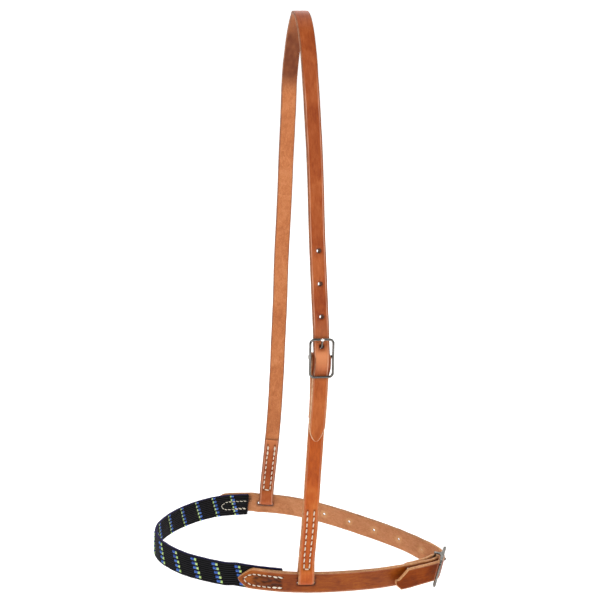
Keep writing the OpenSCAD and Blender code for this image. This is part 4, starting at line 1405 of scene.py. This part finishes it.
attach(billet_ob, "noseband")
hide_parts("chin_billet")

bt_end = bp.L


def chin_tip(t):
    # the billet's width axis points down, so -y is the top edge
    t = np.asarray(t, float)
    h = chin_w / 2
    top = np.interp(t, [bt_end - 14.0, bt_end - 0.9, bt_end], [h, -1.2 + 0.0, -2.4])
    bot = np.interp(t, [bt_end - 7.0, bt_end - 0.9, bt_end], [h, 5.6, 4.2])
    return top, bot


# the tail's point is off centre, so the section is laid out between two edge lines
def tail_hw(t):
    top, bot = chin_tip(t)
    return top, bot


class TailStrap(Strap):
    pass


ctail = Strap("chin_tail_leather", bp, t_bcut, bt_end, chin_w, chin_t, cy, 1.8,
              zones=[(t_bcut, t_btie + 10, 0.9), (bt_end - 14, bt_end, 0.7)],
              hw=lambda t: (np.maximum(chin_tip(t)[0], 0.6), np.maximum(chin_tip(t)[1], 0.6)),
              wob=0.07, seed=61, rc=1.15)
ctail_ob = ctail.build([chin_tail_grain, chin_edge, chin_flesh])
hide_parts("chin_billet_tail")
c0, c1 = bp.emb([t_btie - 2.5], [0], [0])[0] / 1000, bp.emb([t_btie + 9], [0], [0])[0] / 1000
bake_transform(ctail_ob)

# --------------------------------------------------------------- seams
def normals_at(path, t, side):
    return np.stack([np.interp(t, path.t, path.N[:, j]) for j in range(3)], 1) * side


def seam(name, jobs, body, node):
    """jobs: (strap, hole list, face, options)"""
    parts = []
    for i, (strap, hs, side, opt) in enumerate(jobs):
        hs = np.array(hs)
        p = strap.on(hs[:, 0], hs[:, 1], side, -0.02)
        nn = normals_at(strap.path, (hs[:-1, 0] + hs[1:, 0]) / 2, side)
        parts += stitches(list(p), list(nn), seed=5 + i * 13, **opt)
    v, f, a = join_parts(parts)
    o = new_object(name, v, f, [thread_m], None, {"along": a})
    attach(o, body)
    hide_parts(node)
    return o


def back(h, at_end, n=2, dy=0.55):
    """Back-stitches: the last n stitches sewn again beside themselves."""
    h = np.array(h)
    k = h[-(n + 1):] if at_end else h[:n + 1]
    return k + np.array([0.9, dy])


std = {"fill": 0.70, "r": 0.62}
seam("far_loop_stitches",
     [(crown, h, 1, std) for h in far_in + far_out]
     + [(crown, back(far_in[0], False), 1, std), (crown, back(far_in[1], False), 1, std)],
     "hanger", "far_loop_seam")
seam("near_loop_stitches",
     [(cheek, h, 1, std) for h in near_out + near_in], "hanger", "near_loop_seam")
seam("cheek_buckle_stitches", [(cheek, h, 1, std) for h in up_in + up_out],
     "hanger", "cheek_buckle_seam")

# --------------------------------------------------------------- nose band
pitch_r = nose_w / 11
yy = []
for k in range(-5, 6):
    for j in range(6):
        yy.append(k * pitch_r + (j / 6 - 0.5) * pitch_r)
yy.append(5.5 * pitch_r)
yy = np.array(yy)
yy = yy[(np.abs(yy) < nose_w / 2 - 0.35)]


def rib(y):
    c = np.cos(2 * math.pi * np.asarray(y) / pitch_r)
    return 0.52 * np.sqrt(np.clip((1 + c) / 2, 0, 1)) - 0.46


band_wob = waves(91, 6, 20, 60, 0.10)
rib_wob = waves(92, 10, 4, 14, 0.04)
frow_seam_u = None


class Band:
    h, th, path = nose_w / 2, nose_t, nose_path

    def on(self, t, y, side=1, lift=0.0):
        t, y = np.atleast_1d(np.asarray(t, float)), np.atleast_1d(np.asarray(y, float))
        n = side * (self.th / 2 + rib(y) + rib_wob(t, y * 2) * 1.0)
        return self.path.emb(t, y, n + band_wob(t, 0 * y) + side * lift)


band = Band()
bpn = nose_path
tg = t_grid(0.0, bpn.L, 1.5)
Tn = tg[:, None]
Y = yy[None, :]
ng = len(yy)


def stitch_dip(hs_list):
    return stitch_relief(hs_list, 0.3, 0.8)


# sewing on the band's inner face at its two ends, in the band's own distances
def tn_of(s):
    return float(bpn.t[np.abs(bpn.s - s).argmin()])


fb0, fb1, fb2 = tn_of(band_a + 2.5), tn_of(band_a + 28.5), tn_of(band_a + 33.0)
fin_u = lay_holes([(fb0, 4.8), (fb1, 4.8), (fb2, 1.2)], 4.4)
fin_d = lay_holes([(fb0, -4.8), (fb1, -4.8), (fb2, -1.2)], 4.4)
nb = tn_of(tip_n + 6)
nin_u = lay_holes([(tn_of(tip_n + 8), 2.0), (tn_of(tip_n + 14.5), 6.0), (tn_of(tip_n + 45), 5.7)], 5.0)
nin_d = lay_holes([(tn_of(tip_n + 8), -2.0), (tn_of(tip_n + 14.5), -6.6), (tn_of(tip_n + 45), -6.6)], 5.0)
dip_in = stitch_relief([fin_u, fin_d, nin_u, nin_d], 0.34, 0.9)
taper = 1 - 0.06 * ease((tg - (bpn.L - 30)) / 30)
o_g = nose_t / 2 + rib(Y) + rib_wob(Tn, Y * 2)
o_f = -(nose_t / 2 + rib(Y) + rib_wob(Tn, Y * 2)) - dip_in(Tn, Y, 1)
bw = band_wob(Tn, 0 * Y)
g = bpn.emb(np.broadcast_to(Tn, o_g.shape), np.broadcast_to(Y, o_g.shape), o_g + bw)
f = bpn.emb(np.broadcast_to(Tn, o_f.shape), np.broadcast_to(Y, o_f.shape), o_f + bw)
ean = np.radians([-60, -36, -12, 12, 36, 60])
h_ = nose_w / 2
bulge = 0.25 * np.sin(2 * math.pi * Tn / 1.7)
ye = h_ - 0.35 + 0.62 * np.cos(ean)[None, :] + 0.07 * np.sin(2 * math.pi * Tn / 1.7)
ne_ = (nose_t / 2 - 0.25) * np.sin(ean[::-1])[None, :] / math.sin(math.radians(60)) * 0.92
ne_ = np.broadcast_to(ne_, ye.shape)
er = bpn.emb(np.broadcast_to(Tn, ye.shape), ye, ne_ + band_wob(Tn, 0 * ye))
el = bpn.emb(np.broadcast_to(Tn, ye.shape), -ye, ne_ + band_wob(Tn, 0 * ye))
loop = np.concatenate([g, er, f[:, ::-1], el[:, ::-1]], 1)
nlp = loop.shape[1]
nt_ = len(tg)
st = np.zeros((nt_, nlp, 3))
st[..., 0] = Tn
st[:, :ng, 1] = Y
st[:, :ng, 2] = 1
st[:, ng:ng + 6, 1] = ye
st[:, ng + 6:2 * ng + 6, 1] = Y[:, ::-1]
st[:, ng + 6:2 * ng + 6, 2] = -1
st[:, 2 * ng + 6:, 1] = -ye[:, ::-1]
idx = np.arange(nt_ * nlp).reshape(nt_, nlp)
faces = []
for k in range(nlp):
    k2 = (k + 1) % nlp
    faces += np.stack([idx[:-1, k], idx[:-1, k2], idx[1:, k2], idx[1:, k]], 1).tolist()
bv = [loop.reshape(-1, 3)]
bst = [st.reshape(-1, 3)]
nvb = nt_ * nlp
for end, i in ((0, 0), (1, nt_ - 1)):
    # ragged cut end: a middle row, unevenly proud
    sg = -1.0 if end == 0 else 1.0
    rag = rng.uniform(0.1, 1.3, ng)
    row = bpn.emb(np.full(ng, tg[i]) + sg * rag, yy, np.zeros(ng) + bw[i, 0])
    bv.append(row)
    bst.append(np.stack([np.full(ng, tg[i]), yy, np.zeros(ng)], 1))
    mid = list(range(nvb, nvb + ng))
    nvb += ng
    a = list(idx[i, :ng])
    b_ = list(idx[i, ng + 6:2 * ng + 6])[::-1]
    for r0, r1 in ((a, mid), (mid, b_)):
        for q in range(ng - 1):
            quad = [r0[q], r0[q + 1], r1[q + 1], r1[q]]
            faces.append(quad if end == 0 else quad[::-1])
    e1_ = [a[-1]] + list(idx[i, ng:ng + 6]) + [b_[-1], mid[-1]]
    e2_ = [a[0]] + list(idx[i, 2 * ng + 6:])[::-1] + [b_[0], mid[0]]
    faces.append(e1_ if end == 0 else e1_[::-1])
    faces.append(e2_[::-1] if end == 0 else e2_)
band_ob = new_object("nose_weave", np.vstack(bv), faces, [weave_m], None, {"st": np.vstack(bst)})
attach(band_ob, "noseband")
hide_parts("nose_band")

# coloured weft passes that show on alternate ribs of each face
blue_parts, lime_parts = [], []
n_cols = int(math.floor((tip_n - band_a - 9) / 23))
gcol = np.random.default_rng(5)
for i in range(n_cols + 1):
    for side in (1, -1):
        if i == 0 and side == 1:
            continue
        ribs = (-4, -2, 0, 2, 4) if side > 0 else (-5, -3, -1, 1, 3, 5)
        for kr in ribs:
            yc = kr * pitch_r
            tc = tn_of(band_a + 17 + i * 23) - side * yc * math.tan(math.radians(20)) - 1.3
            nb = 5 if side > 0 else 4
            for j in range(8 if side > 0 else 6):
                colour = blue_parts if j < nb else lime_parts
                tt = tc + j * 0.76 + (0.10 if j >= nb else 0) + gcol.normal(0, 0.04)
                hh = 1.30 if abs(kr) < 5 else 1.05
                u = np.linspace(-1, 1, 9)
                ys_ = yc + u * hh * gcol.uniform(0.94, 1.05)
                if abs(kr) == 5:
                    ys_ = np.clip(ys_, -nose_w / 2 + 0.35, nose_w / 2 - 0.35)
                lift = 0.22 * (1 - np.abs(u) ** 2.4) - 0.34 * np.abs(u) ** 4
                tl = tt - side * (ys_ - yc) * 0.12
                t_arr = np.full(9, 1.0) * tl
                n_ = side * (nose_t / 2 + 0.04 + lift) + band_wob(t_arr, 0 * t_arr)
                p = bpn.emb(t_arr, ys_, n_)
                nr = normals_at(bpn, t_arr, side)
                rad = 0.40 * (1 - 0.25 * np.abs(u) ** 3)
                v_, f_, a_ = tube(p, rad, rad * 0.62, nr, 8,
                                  j * 1.3 + u * 3.0, True, 0.10)
                colour.append((v_, f_, a_))
for nm, parts, mat, node, sl in (("blue_weft_yarn", blue_parts, blue_m, "blue_weft", "blue_yarn"),
                                 ("lime_weft_yarn", lime_parts, lime_m, "lime_weft", "lime_yarn")):
    v_, f_, a_ = join_parts(parts)
    o = new_object(nm, v_, f_, [mat], None, {"along": a_})
    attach(o, "noseband")
    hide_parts(node)

# frayed yarn ends
parts = []
gf = np.random.default_rng(12)
for end in (0, 1):
    tbase = 0.0 if end == 0 else bpn.L
    sg = -1 if end == 0 else 1
    for _ in range(150 if end == 0 else 60):
        y0 = gf.uniform(-11.8, 11.8)
        n0 = gf.uniform(-1.1, 1.1)
        ln = gf.uniform(1.0, 2.2)
        if end == 0 and 3.0 < y0 < 9.5 and gf.random() < 0.5:
            ln += gf.uniform(1.0, 4.2)
        u = np.linspace(0, 1, 5)
        wy, wn = gf.normal(0, 0.5), gf.normal(0, 0.28)
        tt = tbase + sg * (-0.8 + (ln + 0.8) * u)
        p = bpn.emb(np.clip(tt, -6, bpn.L + 6), y0 + wy * u ** 2 * 1.6, n0 + wn * u ** 2)
        r = 0.16 * (1 - 0.55 * u)
        parts.append(tube(p, r, r, [0, 0, 1], 5, None, True))
v_, f_, a_ = join_parts(parts)
fr_ob = new_object("nose_weave_fringe", v_, f_, [weave_m], None,
                   {"along": a_, "st": np.stack([a_ * 3, np.zeros(len(a_)), np.ones(len(a_))], 1)})
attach(fr_ob, "noseband")

nst = {"fill": 0.70, "r": 0.58}
fst = {"fill": 0.72, "r": 0.44}
seam("near_nose_stitches",
     [(near_l, nrow_u, 1, nst), (near_l, nrow_d, 1, nst),
      (near_l, back(nrow_u, True, 2, -0.7), 1, nst), (near_l, back(nrow_d, True, 2, 0.7), 1, nst),
      (band, nin_u, -1, nst), (band, nin_d, -1, nst)], "noseband", "near_nose_seam")
seam("far_nose_stitches",
     [(billet, frow_u, 1, fst), (billet, frow_d, 1, fst), (band, fin_u, -1, fst),
      (band, fin_d, -1, fst), (band, back(fin_d, False, 3, 0.8), -1, fst),
      (band, np.array([(fb2, 1.2), (fb2, -1.2)]), -1, fst),
      (billet, np.array([(ft2, 1.2), (ft2, -1.2)]), 1, fst)], "noseband", "far_nose_seam")
seam("chin_buckle_stitches", [(near_l, h, 1, nst) for h in bk_out + bk_in],
     "noseband", "chin_buckle_seam")


# --------------------------------------------------------------- buckles
def buckle_parts(l, w, drop, head=0.97):
    """Frame, lugs and centre bar in the buckle's own axes (x along, y across, z outward)."""
    out = []
    r = 4.2
    # outline of the frame's middle line
    pts, kinds = [], []
    def arc(cx, cy, a0, a1, n=14):
        for q in range(n + 1):
            a = math.radians(a0 + (a1 - a0) * q / n)
            pts.append((cx + r * math.cos(a), cy + r * math.sin(a)))
    def straight(x0, y0, x1, y1, n):
        for q in range(1, n):
            pts.append((x0 + (x1 - x0) * q / n, y0 + (y1 - y0) * q / n))
    arc(l/2 - r, w/2 - r, 0, 90)
    straight(l/2 - r, w/2, -l/2 + r, w/2, 26)
    arc(-l/2 + r, w/2 - r, 90, 180)
    straight(-l/2, w/2 - r, -l/2, -w/2 + r, 14)
    arc(-l/2 + r, -w/2 + r, 180, 270)
    straight(-l/2 + r, -w/2, l/2 - r, -w/2, 26)
    arc(l/2 - r, -w/2 + r, 270, 360)
    straight(l/2, -w/2 + r, l/2, w/2 - r, 14)
    P = np.array([(x, y, drop) for x, y in pts])
    m = len(P)
    T_ = unit(np.roll(P, -1, 0) - np.roll(P, 1, 0))
    Bn = np.cross(T_, [0, 0, 1.0])
    side_k = np.clip((np.abs(P[:, 1]) - (w/2 - 2.2)) / 2.2, 0, 1) * np.clip((l/2 - 1.0 - np.abs(P[:, 0])) / 5, 0, 1)
    side_k = ease(side_k)
    sides = 18
    ph = np.linspace(0, 2 * math.pi, sides, endpoint=False)
    V = []
    for i in range(m):
        hx = wr * (1 - 0.10 * side_k[i])
        hz = wr * (1 + 0.42 * side_k[i])
        e = 2.0 + 1.2 * side_k[i]
        c, s_ = np.cos(ph), np.sin(ph)
        px = np.sign(c) * np.abs(c) ** (2 / e) * hx
        pz = np.sign(s_) * np.abs(s_) ** (2 / e) * hz - 0.35 * side_k[i]
        V.append(P[i] + Bn[i] * px[:, None] + np.array([0, 0, 1.0]) * pz[:, None])
    V = np.vstack(V)
    F = []
    for i in range(m):
        i2 = (i + 1) % m
        for j in range(sides):
            j2 = (j + 1) % sides
            F.append([i * sides + j, i * sides + j2, i2 * sides + j2, i2 * sides + j])
    out.append((V, [q[::-1] for q in F], np.zeros(len(V))))
    # lugs: a tapered plate down from each rail to the bar
    for sy in (-1, 1):
        prof = []
        n = 22
        for q in range(n + 1):
            u = q / n
            z = drop - 0.2 - (drop - 0.2) * u
            hx = 5.2 * (1 - ease(u / 0.55)) + 1.75
            prof.append((hx, z))
        for q in range(1, 13):
            a = math.radians(90 * q / 12)
            prof.append((1.75 * math.cos(a), -1.75 * math.sin(a)))
        th = 0.85
        vs, fs = [], []
        cols = 9
        rows = len(prof)
        for face in (1, -1):
            for hx, z in prof:
                for c in range(cols):
                    x = hx * (2 * c / (cols - 1) - 1)
                    rim = 1 - (abs(2 * c / (cols - 1) - 1) ** 6) * 0.35
                    vs.append((x, sy * w/2 + face * th * rim, z))
        for face in (0, 1):
            o_ = face * rows * cols
            for i in range(rows - 1):
                for c in range(cols - 1):
                    q = [o_ + i * cols + c, o_ + i * cols + c + 1, o_ + (i + 1) * cols + c + 1, o_ + (i + 1) * cols + c]
                    fs.append(q if face == 0 else q[::-1])
        o_ = rows * cols
        for i in range(rows - 1):
            for c in (0, cols - 1):
                q = [i * cols + c, (i + 1) * cols + c, o_ + (i + 1) * cols + c, o_ + i * cols + c]
                fs.append(q if c == 0 else q[::-1])
        for i in (0, rows - 1):
            for c in range(cols - 1):
                q = [i * cols + c, i * cols + c + 1, o_ + i * cols + c + 1, o_ + i * cols + c]
                fs.append(q[::-1] if i == 0 else q)
        out.append((np.array(vs), fs, np.zeros(len(vs))))
    # centre bar with peened heads
    prof = [(0.0, 0.0), (0.55, 0.03), (1.0, 0.22), (1.35, 0.55), (1.35, 0.8), (1.15, 0.86)]
    ys_, rs_ = [], []
    tot = w/2 + head
    for rr, d in prof:
        ys_.append(-tot + d)
        rs_.append(max(rr, 0.001))
    for q in np.linspace(-tot + 1.4, tot - 1.4, 15):
        ys_.append(q)
        rs_.append(wr - 0.03)
    for rr, d in prof[::-1]:
        ys_.append(tot - d)
        rs_.append(max(rr, 0.001))
    pts = np.array([(0, y, 0) for y in ys_], float)
    rs_ = np.array(rs_)
    v, f_, a = tube(pts, rs_, rs_, [0, 0, 1.0], 20)
    out.append((v, f_, a))
    return out


def tongue_parts(l, drop, d):
    """Eye round the bar and a shank that rises to the end bar; its flat tip lies over the bar."""
    zt = drop + wr + 0.55 + 1.05
    e = wr + 0.25 + 0.95
    pts, rx, rz = [], [], []
    ang = math.atan2(zt, l/2)
    # eye: starts beside the shank's foot and wraps the bar
    for q in np.linspace(math.degrees(ang) - 342, math.degrees(ang) - 8, 44):
        a = math.radians(q)
        pts.append((e * math.cos(a), e * math.sin(a)))
        rx.append(1.25)
        rz.append(0.85)
    base_p = np.array(pts[-1])
    tip = np.array([l/2 + 0.2, zt + 0.25])
    n = 30
    d0 = np.array([math.cos(ang), math.sin(ang)])
    start = d0 * (e + 1.2)
    up_ = np.array([-d0[1], d0[0]])
    length = np.linalg.norm(tip - start)
    for q in range(n + 1):
        u = q / n * 0.90
        p = start + (tip - start) * u + up_ * 0.30 * math.sin(math.pi * u)
        pts.append(tuple(p))
        rx.append(1.00 - 0.08 * math.sin(math.pi * u))
        rz.append(1.02 - 0.06 * math.sin(math.pi * u))
    # a rounded, slightly flattened knob over the end bar
    for a_ in np.linspace(-58, 88, 16):
        c_, s_ = math.cos(math.radians(a_)), math.sin(math.radians(a_))
        p = tip + d0 * 1.75 * s_
        pts.append(tuple(p))
        rx.append(max(1.95 * c_, 0.05))
        rz.append(max(1.60 * c_, 0.04))
    P = np.array([(x, 0, z) for x, z in pts])
    P[:, 0] *= 1
    nrm = np.tile([0, 1.0, 0], (len(P), 1))
    v, f_, a = tube(P, rz, rx, nrm, 16)
    v = v.copy()
    if d < 0:
        v[:, 0] *= -1
        f_ = [q[::-1] for q in f_]
    return [(v, f_, a)]


def cheek_at(v):
    p, t, w_, n = (x[0] for x in hframe([bar_s]))
    return (p + n * bar_o) + v[:, :1] * t + v[:, 1:2] * w_ + v[:, 2:] * n


def metal_object(name, parts, place, body, node, bright=1e9):
    v, f_, a = join_parts(parts)
    # painted highlight mask: the knob end of the tongue, past the given distance along its length, on its outer side
    knob = np.clip((np.abs(v[:, 0]) - bright) / 0.5, 0, 1) * (v[:, 2] > 0)
    o = new_object(name, place(v), f_, [metal_m], None, {"along": a, "highlight_and_pale_fibre": knob})
    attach(o, body)
    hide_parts(node)
    return o


metal_object("cheek_buckle_plated", buckle_parts(cheek_len, cheek_w, cheek_drop, 0.45), cheek_at,
             "cheek_buckle", "cheek_buckle_frame")
metal_object("cheek_tongue_plated", tongue_parts(cheek_len, cheek_drop, -1), cheek_at,
             "cheek_tongue", "cheek_buckle_tongue", cheek_len / 2 - 1.1)
metal_object("chin_buckle_plated", buckle_parts(chin_len, chin_bw, chin_drop), at_chin,
             "chin_buckle", "chin_buckle_frame")
metal_object("chin_tongue_plated", tongue_parts(chin_len, chin_drop, 1), at_chin,
             "chin_tongue", "chin_buckle_tongue", chin_len / 2 - 1.1)

# --------------------------------------------------------------- studio
lo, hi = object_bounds()
fm = Nodes("pale_floor")
fn = fm.noise(fm.n("ShaderNodeTexCoord").outputs["Object"], 3.0, 2.0)
fm.put(fm.b.inputs["Base Color"], fm.ramp(fn, [(0.2, (0.90, 0.90, 0.90)), (0.8, (0.93, 0.93, 0.93))]))
fm.b.inputs["Roughness"].default_value = 0.9
fm.b.inputs["Emission Color"].default_value = (1, 1, 1, 1)
fm.b.inputs["Emission Strength"].default_value = 0.62
fm.b.inputs["Specular IOR Level"].default_value = 0.1
me = bpy.data.meshes.new("floor")
z = lo.z - 0.02
ys_ = [-11.0, 2.5] + [2.5 + 1.6 * math.sin(math.radians(a)) for a in range(6, 91, 6)]
zs_ = [z, z] + [z + 1.6 * (1 - math.cos(math.radians(a))) for a in range(6, 91, 6)]
ys_.append(ys_[-1])
zs_.append(z + 5.0)
vv = [(x, y, zz) for y, zz in zip(ys_, zs_) for x in (-13, 13)]
me.from_pydata(vv, [], [[2*i, 2*i + 1, 2*i + 3, 2*i + 2] for i in range(len(ys_) - 1)])
me.polygons.foreach_set("use_smooth", [True] * len(me.polygons))
me.materials.append(fm.m)
floor = bpy.data.objects.new("floor", me)
scene.collection.objects.link(floor)

world = bpy.data.worlds.new("studio")
scene.world = world
world.use_nodes = True
world.node_tree.nodes["Background"].inputs[0].default_value = (1, 1, 1, 1)
world.node_tree.nodes["Background"].inputs[1].default_value = 0.10


def area(name, loc, target, size, power, colour=(1, 1, 1)):
    d = bpy.data.lights.new(name, "AREA")
    d.shape, d.size, d.size_y = "RECTANGLE", size[0], size[1]
    d.energy, d.color = power, colour
    o = bpy.data.objects.new(name, d)
    o.location = loc
    o.rotation_euler = (Vector(target) - Vector(loc)).to_track_quat("-Z", "Y").to_euler()
    scene.collection.objects.link(o)
    return o


area("key", (-1.3, -1.9, 1.5), (0, 0, -0.3), (1.5, 1.5), 33)
area("fill", (1.7, -1.5, 0.4), (0, 0, -0.3), (1.0, 1.8), 14)
area("top", (0.0, 0.4, 2.2), (0, 0, -0.3), (2.2, 1.8), 24.5)
area("back", (0.6, 2.0, 1.4), (0, 0, -0.3), (1.6, 1.2), 11.5)
scene.view_settings.view_transform = "Standard"
